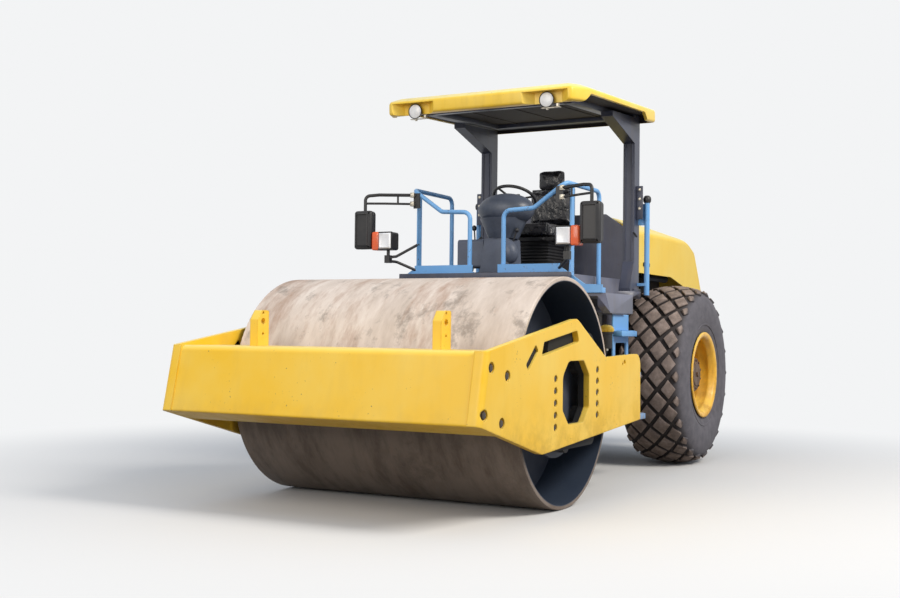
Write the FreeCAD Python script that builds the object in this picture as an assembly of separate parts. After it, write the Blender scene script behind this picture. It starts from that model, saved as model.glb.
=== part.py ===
import FreeCAD, Part
import math
import os

V = FreeCAD.Vector

# Single-drum articulated road roller, in millimetres.
# The origin is on the ground under the articulation pin: X forward, Y to the operator's left, Z up.

# Overall layout
wheelbase = 3150.0
frame_width = 2300.0
fit = 0.05
seat_gap = 0.3
drum_x = wheelbase / 2
axle_x = -wheelbase / 2

# Drum
drum_radius = 760.0
drum_side_gap = 85.0
drum_width = frame_width - 2 * drum_side_gap
drum_wall = 30.0
drum_head_inset = 350.0
drum_head_thickness = 28.0
trunnion_radius = 85.0
trunnion_length = 170.0

# Tyres, rims and rear axle
tyre_radius = 790.0
tyre_width = 590.0
track_half = 781.0
tread_radius = 753.0
tread_stations = 20
block_half_length = 104.0
block_half_width = 72.0
block_spread = 1.06
block_root = 742.0
rim_seat_radius = 335.0
rim_flange_radius = 378.0
rim_flange_thickness = 16.0
rim_wall = 14.0
rim_disc_y = 745.0
rim_disc_thickness = 22.0
wheel_hub_radius = 170.0
wheel_hub_length = 95.0
axle_spindle_radius = 70.0
axle_tube_radius = 115.0
axle_tube_end = 600.0
differential_radius = 205.0
differential_half = 120.0

# Front frame
plate_thickness = 40.0
drum_beam_gap = 102.0
beam_length = 530.0
half_length = drum_x + drum_radius + drum_beam_gap + beam_length
beam_rear_x = half_length - beam_length
beam_top = 1045.0
beam_front_rake = 92.0
beam_front_foot = 630.0
beam_setback = 6.0
beam_belly_x = half_length - 267.0
beam_belly_z = 556.0
beam_rear_foot = 620.0
corner_post_width = 85.0
corner_post_depth = 70.0
corner_radius = 38.0
apex_height = 1246.0
keel_x = drum_x + 555.0
plate_keel_z = 407.0
plate_rear_foot = 517.0
plate_rear_top = 1003.0
crossbeam_front_x = drum_x - drum_radius - 165.0
crossbeam_rear_x = crossbeam_front_x - 210.0
rear_plate_x = crossbeam_rear_x - 73.0
crossbeam_bottom = 560.0
crossbeam_top = 960.0
window_x = drum_x + 22.0
window_half_length = 221.0
window_bottom = 563.0
window_top = 971.0
window_chamfer = 95.0
window_corner = 30.0
window_front_corner = 75.0
pocket_depth = 16.0
bolt_hole_radius = 25.0
bolt_rows = 5
bolt_pitch = 76.0
beam_bolt_radius = 34.0
ear_setback = 63.0
ear_length = 120.0
ear_thickness = 60.0
ear_height = 232.0
ear_offset = 680.0
ear_bore_x = beam_rear_x + 123.0
ear_bore_radius = 20.0
ear_bore_height = 160.0
ear_small_radius = 9.0

# Scrapers
scraper_gap = 13.0
front_scraper_z = 566.0
rear_scraper_z = 504.0
scraper_inset = 15.0

# Drum carriers
carrier_pad_gap = 40.0
carrier_disc_radius = 430.0
carrier_disc_thickness = 26.0
bearing_radius = 150.0
bearing_length = 110.0
rubber_mount_radius = 62.0
rubber_mount_length = 70.0
rubber_mount_circle = 330.0
rubber_mount_count = 6
mount_plate_half = 395.0
mount_plate_foot = 360.0

# Articulation and steering
hinge_pin_radius = 45.0
lug_thickness = 50.0
hitch_head_bottom = 695.0
hitch_head_top = 905.0
lug_gap = 1.0
hitch_eye_radius = 100.0
pin_cap_radius = 75.0
pin_cap_height = 22.0
steering_level = 560.0
cylinder_lever = 180.0
cylinder_reach = crossbeam_rear_x - 165.0
rod_eye_rest_offset = -11.0
cylinder_pin_radius = 20.0
barrel_radius = 45.0
barrel_length = 2 * cylinder_reach - 195.0
rod_radius = 22.0
rod_length = 2 * cylinder_reach - 221.0
eye_half_height = 28.0
rod_eye_bore = 38.0
rod_eye_radius = 60.0
clevis_gap = 5.0
clevis_plate = 18.0
clevis_eye_radius = 50.0

# Rear chassis
chassis_half_width = 330.0
chassis_plate = 40.0
chassis_front_x = -cylinder_reach - 65.0
chassis_rear_x = -half_length + 267.0
chassis_bottom = 600.0
chassis_top = 1010.0
body_floor = 1180.0
bumper_top = 1560.0
bumper_bottom = 700.0
bumper_half_width = 700.0
tow_pin_x = -half_length + 135.0
tow_pin_radius = 21.0
tow_jaw_bottom = 780.0
tow_jaw_top = 880.0
tow_jaw_half = 70.0
tail_lamp_y = 560.0
tail_lamp_z = 1360.0

# Operator platform
platform_front_x = drum_x - 920.0
platform_rear_x = axle_x + tyre_radius + 60.0
floor_top = 1600.0
floor_thickness = 40.0
wing_top = 1445.0
wing_outer = 980.0
wing_beam_width = 60.0
wing_beam_bottom = 1300.0
wing_beam_front_bottom = 1350.0
wing_rear_x = platform_rear_x + 700.0
skirt_thickness = 40.0
kick_height = 65.0
kick_thickness = 14.0
step_rear_x = platform_rear_x + 125.0
step_middle_x = platform_rear_x + 380.0
step_front_x = platform_rear_x + 750.0
step_inner_y = 700.0
step_outer_y = 900.0

# Handrails, mirrors and head lamps
rail_radius = 17.5
rail_bend = 60.0
rail_x = platform_front_x - 15.0
inner_post_y = 145.0
inner_rail_top = 2075.0
rail_knee_y = 395.0
outer_post_y = 655.0
rail_top = 2270.0
rear_post_x = rail_x - 655.0
rear_post_y = 662.0
corner_bar_x = rail_x - 140.0
corner_bar_width = 60.0
corner_bar_thickness = 12.0
mirror_x = rail_x + 235.0
mirror_y = 957.0
mirror_half_width = 78.0
mirror_height = 300.0
mirror_top = rail_top - 180.0
lamp_x = rail_x + 255.0
lamp_y = 770.0
lamp_z = 1850.0

# Instruments and seat
console_x = platform_front_x - 380.0
console_y = -12.0
console_z = 2120.0
console_half_width = 235.0
console_half_depth = 175.0
console_half_height = 132.0
console_floor = 2030.0
column_top = 1890.0
wheel_centre = V(console_x - 90.0, console_y, 2290.0)
wheel_tilt = V(-0.35, 0, 1).normalize()
wheel_stem_radius = 45.0
wheel_ring_radius = 170.0
wheel_stem_drop = 140.0
seat_x = platform_rear_x + 395.0
seat_half_width = 245.0
seat_pan_top = 1930.0
seat_front_top = 2050.0
headrest_top = 2570.0

# Roll-over structure and canopy
post_x = platform_rear_x
post_y = 670.0
post_depth = 120.0
post_width = 100.0
floor_half_width = post_y - post_width / 2
post_foot_z = 1500.0
post_top_z = 2890.0
canopy_front_x = platform_front_x + 180.0
canopy_rear_x = platform_rear_x - 90.0
canopy_half_width = 850.0
canopy_front_half = 600.0
canopy_chamfer = 210.0
canopy_edge_bottom = 2862.0
canopy_edge_top = 2985.0
canopy_crown = 3075.0
canopy_skin = 26.0
roof_rail_y = 600.0
work_lamp_y = 560.0
work_lamp_z = 2905.0
work_lamp_radius = 52.0
lamp_pocket_half = 105.0
lamp_pocket_depth = 110.0
lamp_pocket_top = 2972.0
grab_pole_radius = 22.0

# Hood and engine
engine_half_width = 340.0
engine_top = 1700.0
hood_front_x = platform_rear_x - 75.0
hood_rear_x = -half_length + 327.0
hood_foot_z = 1560.0
hood_slope_x = -half_length + 557.0
hood_slope_z = 1925.0
hood_hinge_x = -half_length + 292.0
hood_hinge_z = 1545.0
hood_hinge_y = 478.0
hood_pin_radius = 10.0
hinge_lug_thickness = 30.0
hood_half_width = 700.0
hood_top = 2150.0
hood_shoulder_y = 430.0
hood_edge_z = 2020.0
hood_skin = 14.0
hood_arch_z = 1665.0
hood_cut_z = 1300.0
grille_half_width = 585.0
grille_depth = 78.0
grille_frame = 28.0
grille_slats = 7
bulkhead_thickness = 30.0
bulkhead_top = 2165.0
bulkhead_half_width = floor_half_width
plate_outer = frame_width / 2
plate_inner = plate_outer - plate_thickness
beam_front_top_x = half_length - beam_front_rake
carrier_y = plate_inner - carrier_pad_gap - rubber_mount_length - carrier_disc_thickness
keel_slope = (beam_front_foot - plate_keel_z) / (half_length - keel_x)


def box(x0, x1, y0, y1, z0, z1):
    """A block between two corners."""
    return Part.makeBox(x1 - x0, y1 - y0, z1 - z0, V(x0, y0, z0))


def cylinder(centre, axis, radius, length):
    """A round bar that starts at centre and runs along axis."""
    return Part.makeCylinder(radius, length, V(*centre), V(*axis))


def rounded_wire(points, place):
    """A closed outline with arcs at its corners; each point is (u, v) or (u, v, radius)."""
    corners = []
    count = len(points)
    for i, point in enumerate(points):
        here = FreeCAD.Vector(point[0], point[1], 0)
        before = FreeCAD.Vector(points[i - 1][0], points[i - 1][1], 0)
        after = FreeCAD.Vector(points[(i + 1) % count][0], points[(i + 1) % count][1], 0)
        radius = point[2] if len(point) > 2 else 0
        if radius <= 0:
            corners.append((here, here, here))
            continue
        into = (before - here).normalize()
        out = (after - here).normalize()
        half = into.getAngle(out) / 2
        back = radius / math.tan(half)
        centre = here + (into + out).normalize() * (radius / math.sin(half))
        middle = centre + (here - centre).normalize() * radius
        corners.append((here + into * back, middle, here + out * back))
    edges = []
    for i, corner in enumerate(corners):
        following = corners[(i + 1) % count]
        if (corner[0] - corner[2]).Length > 1e-6:
            edges.append(Part.Arc(place(corner[0]), place(corner[1]), place(corner[2])).toShape())
        if (corner[2] - following[0]).Length > 1e-6:
            edges.append(Part.LineSegment(place(corner[2]), place(following[0])).toShape())
    return Part.Wire(edges)


def side_prism(points, y0, y1):
    """An outline in X and Z, extruded along Y."""
    wire = rounded_wire(points, lambda p: V(p.x, y0, p.y))
    return Part.Face(wire).extrude(V(0, y1 - y0, 0))


def flat_prism(points, z0, z1):
    """An outline in X and Y, extruded along Z."""
    wire = rounded_wire(points, lambda p: V(p.x, p.y, z0))
    return Part.Face(wire).extrude(V(0, 0, z1 - z0))


def cross_prism(points, x0, x1):
    """An outline in Y and Z, extruded along X."""
    wire = rounded_wire(points, lambda p: V(x0, p.x, p.y))
    return Part.Face(wire).extrude(V(x1 - x0, 0, 0))


def spin_y(points, x, z):
    """An outline of (radius, y) turned about the axis along Y through x and z."""
    wire = rounded_wire(points, lambda p: V(x, p.y, z + p.x))
    return Part.Face(wire).revolve(V(x, 0, z), V(0, 1, 0), 360)


def tube(points, radius, bend):
    """A round tube through the points, with an arc at each corner."""
    edges = []
    start = V(*points[0])
    for i in range(1, len(points) - 1):
        here = V(*points[i])
        into = (V(*points[i - 1]) - here).normalize()
        out = (V(*points[i + 1]) - here).normalize()
        half = into.getAngle(out) / 2
        back = bend / math.tan(half)
        centre = here + (into + out).normalize() * (bend / math.sin(half))
        middle = centre + (here - centre).normalize() * bend
        edges.append(Part.LineSegment(start, here + into * back).toShape())
        edges.append(Part.Arc(here + into * back, middle, here + out * back).toShape())
        start = here + out * back
    edges.append(Part.LineSegment(start, V(*points[-1])).toShape())
    path = Part.Wire(edges)
    direction = V(*points[1]) - V(*points[0])
    ring = Part.Wire(Part.makeCircle(radius, V(*points[0]), direction))
    return path.makePipeShell([ring], True, False)


def mirrored(shape):
    """The same piece on the other side of the machine."""
    return shape.mirror(V(0, 0, 0), V(0, 1, 0))


def joined(shapes):
    """One solid from touching pieces, with seams on flat faces removed."""
    whole = shapes[0].fuse(list(shapes[1:])) if len(shapes) > 1 else shapes[0]
    return whole.removeSplitter()


def pair(nodes, name, left):
    """Adds a left piece and its mirrored right piece."""
    nodes[name + "_left"] = left
    nodes[name + "_right"] = mirrored(left)


def front_line(z):
    """X of the raked front face of the side plates at height z."""
    share = (beam_top - z) / (beam_top - beam_front_foot)
    return beam_front_top_x + beam_front_rake * share


def solid_of(faces):
    """A solid with flat sides from a list of its faces, each a list of corners."""
    sides = []
    for corners in faces:
        sides.append(Part.Face(Part.makePolygon(corners + [corners[0]])))
    solid = Part.Solid(Part.Shell(sides))
    if solid.Volume < 0:
        solid.reverse()
    return solid


def side_window(y0, y1):
    """The long eight-sided window beside the drum's bearing, as a cutter."""
    c = window_chamfer
    x0 = window_x - window_half_length
    x1 = window_x + window_half_length
    outline = [
        (x0 + c, window_bottom, window_corner),
        (x1 - c, window_bottom, window_corner),
        (x1, window_bottom + c, window_corner),
        (x1, window_top - c, window_front_corner),
        (x1 - c, window_top, window_front_corner),
        (x0 + c, window_top, window_corner),
        (x0, window_top - c, window_corner),
        (x0, window_bottom + c, window_corner),
    ]
    return side_prism(outline, y0, y1)


def front_corner_cutter():
    """What rounds off the raked outer front edge of the left side plate."""
    top = V(beam_front_top_x, plate_outer, beam_top)
    foot = V(half_length, plate_outer, beam_front_foot)
    down = (foot - top).normalize()
    start = top - down * 100
    inward = V(0, -1, 0)
    back = down.cross(inward).normalize()
    if back.x > 0:
        back = back * -1
    r = corner_radius
    spare = 20
    block = Part.makePolygon(
        [
            start - inward * spare - back * spare,
            start + inward * r - back * spare,
            start + inward * r + back * r,
            start - inward * spare + back * r,
            start - inward * spare - back * spare,
        ]
    )
    length = (foot - top).Length + 200
    bar = Part.Face(block).extrude(down * length)
    post = Part.makeCylinder(r, length, start + inward * r + back * r, down)
    return bar.cut(post)


def side_plate():
    """Left side plate of the drum frame, with its window, slots, bolt pockets and front corner post."""
    outline = [
        (beam_front_top_x, beam_top),
        (drum_x + 17, apex_height, 110),
        (drum_x - 505, 985, 70),
        (rear_plate_x + 6, plate_rear_top, 90),
        (rear_plate_x, plate_rear_foot, 12),
        (keel_x, plate_keel_z, 180),
        (half_length, beam_front_foot),
    ]
    plate = side_prism(outline, plate_inner, plate_outer)
    post_inner = plate_outer - corner_post_width
    post = side_prism(
        [
            (front_line(beam_top) - corner_post_depth, beam_top),
            (beam_front_top_x, beam_top),
            (half_length, beam_front_foot),
            (half_length - corner_post_depth, beam_front_foot - corner_post_depth * keel_slope),
        ],
        post_inner,
        plate_outer,
    )
    plate = joined([plate, post])
    plate = plate.cut(front_corner_cutter())
    y0 = plate_inner - 10
    y1 = plate_outer + 10
    cutters = [side_window(y0, y1)]
    # (ahead of the drum's axis, height) of each slot's corners
    slots = (
        ((575, 1004), (539, 1094), (15, 1167), (-19, 1092)),
        ((800, 960), (763, 922), (621, 1038), (657, 1080)),
    )
    for slot in slots:
        cutters.append(side_prism([(drum_x + ahead, z, 14) for ahead, z in slot], y0, y1))
    pocket_y = plate_outer - pocket_depth
    # (ahead of the drum's axis, lowest pocket's height) of the two bolt columns
    for ahead, lowest in ((355, 558), (-348, 598)):
        for row in range(bolt_rows):
            z = lowest + row * bolt_pitch
            cutters.append(cylinder((drum_x + ahead, pocket_y, z), (0, 1, 0), bolt_hole_radius, 30))
    # (behind the front, height) of the pockets for the beam's bolts
    for behind, z in ((138, 951), (345, 900), (59, 690), (276, 632)):
        cutters.append(cylinder((half_length - behind, pocket_y, z), (0, 1, 0), beam_bolt_radius, 30))
    # (ahead of the rear edge, height, radius) of the two small holes at the rear
    for ahead, z, radius in ((378, 932, 11), (338, 944, 18)):
        cutters.append(cylinder((rear_plate_x + ahead, y0, z), (0, 1, 0), radius, y1 - y0))
    return plate.cut(cutters)


def front_beam():
    """Box beam across the front, with a raised eye plate near each end."""
    section = [
        (beam_front_top_x - beam_setback, beam_top, 45),
        (half_length - beam_setback, beam_front_foot - beam_setback * keel_slope, 12),
        (beam_belly_x, beam_front_foot - (half_length - beam_belly_x) * keel_slope, 30),
        (beam_rear_x + 30, beam_belly_z, 30),
        (beam_rear_x, beam_rear_foot, 30),
        (beam_rear_x, beam_top, 10),
    ]
    beam = side_prism(section, -plate_inner, plate_inner)
    post_inner = plate_outer - corner_post_width
    for side in (-1, 1):
        y0 = min(side * post_inner, side * plate_outer)
        keep_out = side_prism(
            [
                (front_line(beam_top) - corner_post_depth, beam_top + 20),
                (half_length + 50, beam_top + 20),
                (half_length + 50, beam_front_foot - 80),
                (half_length - corner_post_depth, beam_front_foot - 80),
                (half_length - corner_post_depth, beam_front_foot - corner_post_depth * keel_slope),
                (front_line(beam_top) - corner_post_depth, beam_top),
            ],
            y0,
            y0 + corner_post_width,
        )
        beam = beam.cut(keep_out)
    return joined([beam, lifting_ear(-ear_offset), lifting_ear(ear_offset)])


def lifting_ear(y):
    """Thick upright plate along the machine with a tie-down hole and two small ones."""
    x0 = beam_rear_x + ear_setback
    x1 = x0 + ear_length
    top = beam_top + ear_height
    y0 = y - ear_thickness / 2
    plate = side_prism(
        [(x0, beam_top - 1), (x1, beam_top - 1), (x1, top - 62, 12), (x1 - 45, top, 12), (x0, top, 14)],
        y0,
        y0 + ear_thickness,
    )
    bores = []
    # (height over the beam, radius) of the three holes
    holes = (
        (ear_bore_height + 55, ear_small_radius),
        (ear_bore_height, ear_bore_radius),
        (ear_bore_height - 81, ear_small_radius),
    )
    for up, radius in holes:
        bores.append(cylinder((ear_bore_x, y0 - 10, beam_top + up), (0, 1, 0), radius, ear_thickness + 20))
    return plate.cut(bores)


def rear_beam():
    """Rear crossbeam with the hitch lugs and the clevises of the steering rods."""
    beam = side_prism(
        [
            (crossbeam_rear_x, crossbeam_bottom, 30),
            (crossbeam_front_x, crossbeam_bottom, 30),
            (crossbeam_front_x, crossbeam_top, 30),
            (crossbeam_rear_x, crossbeam_top, 30),
        ],
        -plate_inner,
        plate_inner,
    )
    pieces = [beam]
    lug_outline = [
        (crossbeam_rear_x + 20, -260),
        (crossbeam_rear_x + 20, 260),
        (crossbeam_rear_x - 30, 260),
        (60, hitch_eye_radius),
        (0, hitch_eye_radius),
        (0, -hitch_eye_radius),
        (60, -hitch_eye_radius),
        (crossbeam_rear_x - 30, -260),
    ]
    levels = (
        hitch_head_bottom - lug_gap - lug_thickness,
        hitch_head_top + lug_gap,
    )
    for z in levels:
        lug = flat_prism(lug_outline, z, z + lug_thickness)
        eye = cylinder((0, 0, z), (0, 0, 1), hitch_eye_radius, lug_thickness)
        pieces.append(lug.fuse(eye))
    for side in (-1, 1):
        pieces.extend(rod_clevis(side * cylinder_lever))
    whole = joined(pieces)
    bores = [cylinder((0, 0, levels[0] - 50), (0, 0, 1), hinge_pin_radius + fit, 600)]
    return whole.cut(bores)


def rod_clevis(y):
    """Two plates with a pin for a steering rod's eye, on the lower part of the crossbeam."""
    pieces = []
    half = eye_half_height + clevis_gap
    for z in (steering_level + half, steering_level - half - clevis_plate):
        outline = [
            (crossbeam_rear_x + 40, y - 60),
            (crossbeam_rear_x + 40, y + 60),
            (cylinder_reach, y + clevis_eye_radius),
            (cylinder_reach, y - clevis_eye_radius),
        ]
        plate = flat_prism(outline, z, z + clevis_plate)
        eye = cylinder((cylinder_reach, y, z), (0, 0, 1), clevis_eye_radius, clevis_plate)
        pieces.append(plate.fuse(eye))
    low = steering_level - half - clevis_plate
    x = crossbeam_rear_x
    pieces.append(box(x - 10, x + 60, y - 60, y + 60, low, crossbeam_bottom + 60))
    pin_length = 2 * (half + clevis_plate) + 16
    pin_foot = (cylinder_reach, y, steering_level - pin_length / 2)
    pieces.append(cylinder(pin_foot, (0, 0, 1), cylinder_pin_radius, pin_length))
    return pieces


def drum_shell():
    """The open steel drum."""
    half = drum_width / 2
    inner = drum_radius - drum_wall
    return spin_y(
        [(inner, -half), (drum_radius, -half, 6), (drum_radius, half, 6), (inner, half)],
        drum_x,
        drum_radius,
    )


def drum_head():
    """Left head plate of the drum with its trunnion and stiffening ring."""
    face = drum_width / 2 - drum_head_inset
    back = face - drum_head_thickness
    rim = drum_radius - drum_wall - fit
    return spin_y(
        [
            (0, back),
            (rim, back),
            (rim, face),
            (trunnion_radius + 75, face, 10),
            (trunnion_radius + 55, face + 30, 8),
            (trunnion_radius, face + 30),
            (trunnion_radius, face + trunnion_length, 4),
            (0, face + trunnion_length),
        ],
        drum_x,
        drum_radius,
    )


def drum_carrier():
    """Left carrier: bearing housing and disc held by rubber mounts inside the drum end."""
    tip = drum_width / 2 - drum_head_inset + trunnion_length
    start = tip - bearing_length
    bore = trunnion_radius + fit
    return spin_y(
        [
            (bore, start),
            (bearing_radius, start, 8),
            (bearing_radius, carrier_y - 60, 20),
            (bearing_radius + 60, carrier_y),
            (carrier_disc_radius, carrier_y, 6),
            (carrier_disc_radius, carrier_y + carrier_disc_thickness, 6),
            (60, carrier_y + carrier_disc_thickness),
            (60, tip + 12),
            (bore, tip + 12),
        ],
        drum_x,
        drum_radius,
    )


def shock_mounts():
    """Left ring of rubber mounts with the plate that bolts them to the side plate."""
    y0 = carrier_y + carrier_disc_thickness
    pieces = []
    for i in range(rubber_mount_count):
        angle = 2 * math.pi * (i + 0.5) / rubber_mount_count
        x = drum_x + rubber_mount_circle * math.cos(angle)
        z = drum_radius + rubber_mount_circle * math.sin(angle)
        pieces.append(cylinder((x, y0, z), (0, 1, 0), rubber_mount_radius, rubber_mount_length))
    return pieces


def mount_plate():
    """Left square plate between the rubber mounts and the side plate."""
    y0 = plate_inner - carrier_pad_gap
    half = mount_plate_half
    plate = side_prism(
        [
            (drum_x - half, drum_radius - mount_plate_foot, 60),
            (drum_x + half, drum_radius - mount_plate_foot, 60),
            (drum_x + half, drum_radius + half, 120),
            (drum_x - half, drum_radius + half, 120),
        ],
        y0,
        plate_inner,
    )
    return plate.cut(side_window(y0 - 5, plate_inner + 5))


def drum_scrapers():
    """Scraper bars close to the drum at the front and at the rear."""
    half = drum_width / 2 - scraper_inset
    tip = scraper_tip(front_scraper_z, 1)
    x = beam_rear_x
    front = side_prism(
        [
            (x, beam_rear_foot + 100),
            (x, beam_rear_foot + 30),
            (x - 45, front_scraper_z + 8),
            (tip, front_scraper_z - 6),
            (tip + 2, front_scraper_z + 8),
            (x - 57, front_scraper_z + 24),
            (x - 14, beam_rear_foot + 40),
            (x - 14, beam_rear_foot + 100),
        ],
        -half,
        half,
    )
    tip = scraper_tip(rear_scraper_z, -1)
    x = crossbeam_front_x
    rear = side_prism(
        [
            (x - 40, crossbeam_bottom),
            (x - 90, crossbeam_bottom),
            (x - 90, crossbeam_bottom - 20),
            (tip, rear_scraper_z - 8),
            (tip - 2, rear_scraper_z + 8),
            (x - 40, crossbeam_bottom - 14),
        ],
        -half,
        half,
    )
    return [front, rear]


def scraper_tip(z, side):
    """X of a scraper's edge at height z, just off the drum."""
    reach = drum_radius + scraper_gap
    return drum_x + side * math.sqrt(reach**2 - (drum_radius - z) ** 2)


def carcass():
    """The left tyre without its tread blocks, with flat sides between the tread's stations."""
    half = tyre_width / 2
    bead = rim_seat_radius
    # (radius, distance in from the sidewall's widest point)
    wall = (
        (bead - 20, 52),
        (bead + 110, 10),
        (bead + 230, 0),
        (tread_radius - 75, 12),
        (tread_radius - 22, 36),
        (tread_radius, 72),
    )
    profile = [(radius, track_half - half + inset) for radius, inset in wall]
    profile += [(radius, track_half + half - inset) for radius, inset in reversed(wall)]
    corner = 1 / math.cos(math.pi / tread_stations)
    rings = []
    for i in range(tread_stations):
        angle = 2 * math.pi * (i + 0.5) / tread_stations
        ring = []
        for radius, y in profile:
            reach = radius * corner
            ring.append(V(axle_x + reach * math.sin(angle), y, tyre_radius + reach * math.cos(angle)))
        rings.append(ring)
    faces = []
    for i in range(tread_stations):
        here = rings[i]
        following = rings[(i + 1) % tread_stations]
        for j in range(len(profile)):
            k = (j + 1) % len(profile)
            faces.append([here[j], here[k], following[k], following[j]])
    bore = cylinder((axle_x, track_half - half, tyre_radius), (0, 1, 0), rim_seat_radius, tyre_width)
    return solid_of(faces).cut(bore)


def tread_block(angle, y):
    """One diamond block of the tread, narrower at its top."""
    top_radius = math.sqrt(tyre_radius**2 - block_half_length**2)
    rings = []
    for height, spread in ((block_root, block_spread), (top_radius, 1)):
        ring = []
        for u, v in ((1, 0), (0, 1), (-1, 0), (0, -1)):
            along = u * block_half_length * spread
            across = y + v * block_half_width * spread
            x = axle_x + height * math.sin(angle) + along * math.cos(angle)
            z = tyre_radius + height * math.cos(angle) - along * math.sin(angle)
            ring.append(V(x, across, z))
        rings.append(ring)
    low, high = rings
    faces = [low, high]
    for i in range(4):
        k = (i + 1) % 4
        faces.append([low[i], low[k], high[k], high[i]])
    return solid_of(faces)


def tyre():
    """Left tyre with its diamond blocks, out to their tips."""
    step = 2 * math.pi / tread_stations
    pitch = 2.36 * block_half_width
    blocks = []
    for i in range(tread_stations):
        for column in (-1, 0, 1):
            blocks.append(tread_block(i * step, track_half + column * pitch))
        for column in (-0.5, 0.5):
            blocks.append(tread_block((i + 0.5) * step, track_half + column * pitch))
    return carcass().fuse(blocks)


def rim():
    """Left rim: flanged barrel with a dished disc bored for the hub."""
    half = tyre_width / 2 - 30
    seat = rim_seat_radius - fit
    inner = seat - rim_wall
    outer_y = track_half + half
    inner_y = track_half - half
    t = rim_flange_thickness
    barrel = spin_y(
        [
            (inner, inner_y - t),
            (rim_flange_radius, inner_y - t, 6),
            (rim_flange_radius, inner_y - 1),
            (seat, inner_y - 1),
            (seat, outer_y + 1),
            (rim_flange_radius, outer_y + 1),
            (rim_flange_radius, outer_y + t, 6),
            (inner, outer_y + t),
        ],
        axle_x,
        tyre_radius,
    )
    disc = spin_y(
        [
            (wheel_hub_radius - 30, rim_disc_y),
            (inner + 4, rim_disc_y),
            (inner + 4, rim_disc_y + rim_disc_thickness),
            (wheel_hub_radius - 30, rim_disc_y + rim_disc_thickness),
        ],
        axle_x,
        tyre_radius,
    )
    return joined([barrel, disc])


def wheel_hub():
    """Left final-drive hub that carries the rim and turns on the axle spindle."""
    face = rim_disc_y + rim_disc_thickness
    bore = axle_spindle_radius + fit
    return spin_y(
        [
            (bore, rim_disc_y - wheel_hub_length),
            (wheel_hub_radius + 25, rim_disc_y - wheel_hub_length, 8),
            (wheel_hub_radius + 25, rim_disc_y),
            (wheel_hub_radius - 30 - fit, rim_disc_y),
            (wheel_hub_radius - 30 - fit, face + 40, 15),
            (0, face + 40),
            (0, face + 10),
            (bore, face + 10),
        ],
        axle_x,
        tyre_radius,
    )


def rear_axle():
    """Rear axle housing with its differential and the two spindles."""
    left = [
        (0, 0),
        (differential_radius, 0),
        (differential_radius, differential_half, 60),
        (axle_tube_radius, differential_radius + 60),
        (axle_tube_radius, axle_tube_end),
        (axle_spindle_radius, axle_tube_end),
        (axle_spindle_radius, rim_disc_y + rim_disc_thickness),
        (0, rim_disc_y + rim_disc_thickness),
    ]
    half = spin_y(left, axle_x, tyre_radius)
    return joined([half, mirrored(half)])


def rear_chassis():
    """Rear frame: two side members, cross plates, the hitch head and the barrel brackets."""
    side_outline = [
        (chassis_front_x, chassis_bottom, 40),
        (chassis_front_x, chassis_top, 40),
        (chassis_rear_x, chassis_top),
        (chassis_rear_x, bumper_bottom, 60),
        (axle_x - 320, chassis_bottom, 60),
    ]
    pieces = []
    for side in (-1, 1):
        y0 = side * chassis_half_width - chassis_plate / 2
        pieces.append(side_prism(side_outline, y0, y0 + chassis_plate))
    width = chassis_half_width
    # (rear face, front face, underside, top) of the cross plates
    cross_plates = (
        (chassis_front_x - 40, chassis_front_x, chassis_bottom + 20, chassis_top - 20),
        (chassis_rear_x, chassis_rear_x + 40, bumper_bottom + 40, chassis_top),
        (axle_x + 260, axle_x + 320, chassis_bottom + 20, chassis_top - 20),
        (axle_x - 320, axle_x - 260, chassis_bottom + 60, chassis_top - 20),
    )
    for x0, x1, z0, z1 in cross_plates:
        pieces.append(box(x0, x1, -width, width, z0, z1))
    head_outline = [
        (chassis_front_x - 10, -230),
        (chassis_front_x - 10, 230),
        (chassis_front_x + 60, 200),
        (-40, hitch_eye_radius),
        (0, hitch_eye_radius),
        (0, -hitch_eye_radius),
        (-40, -hitch_eye_radius),
        (chassis_front_x + 60, -200),
    ]
    head = flat_prism(head_outline, hitch_head_bottom, hitch_head_top)
    eye_height = hitch_head_top - hitch_head_bottom
    eye = cylinder((0, 0, hitch_head_bottom), (0, 0, 1), hitch_eye_radius, eye_height)
    pieces.append(head.fuse(eye))
    for side in (-1, 1):
        pieces.extend(barrel_bracket(side * cylinder_lever))
        for x in (chassis_front_x - 120, axle_x + 395, chassis_rear_x + 140):
            pieces.append(cross_member(x, side))
    whole = joined(pieces)
    cuts = [cylinder((0, 0, hitch_head_bottom - 5), (0, 0, 1), hinge_pin_radius + fit, eye_height + 10)]
    cuts.append(cylinder((axle_x, -width - 40, tyre_radius), (0, 1, 0), axle_tube_radius, 2 * width + 80))
    return whole.cut(cuts)


def cross_member(x, side):
    """Short upright stay from a side member up to the body's floor."""
    y0 = side * chassis_half_width - 40
    return box(x - 50, x + 50, y0, y0 + 80, chassis_top - 10, body_floor)


def barrel_bracket(y):
    """Two plates with a pin that carry a steering cylinder's rear eye."""
    pieces = []
    half = eye_half_height + clevis_gap
    for z in (steering_level + half, steering_level - half - clevis_plate):
        outline = [
            (chassis_front_x - 20, y - 55),
            (chassis_front_x - 20, y + 55),
            (-cylinder_reach, y + clevis_eye_radius),
            (-cylinder_reach, y - clevis_eye_radius),
        ]
        plate = flat_prism(outline, z, z + clevis_plate)
        eye = cylinder((-cylinder_reach, y, z), (0, 0, 1), clevis_eye_radius, clevis_plate)
        pieces.append(plate.fuse(eye))
    low = steering_level - half - clevis_plate
    x = chassis_front_x
    pieces.append(box(x - 40, x - 10, y - 55, y + 55, low, chassis_bottom + 60))
    pin_length = 2 * (half + clevis_plate) + 16
    pin_foot = (-cylinder_reach, y, steering_level - pin_length / 2)
    pieces.append(cylinder(pin_foot, (0, 0, 1), cylinder_pin_radius, pin_length))
    return pieces


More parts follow.
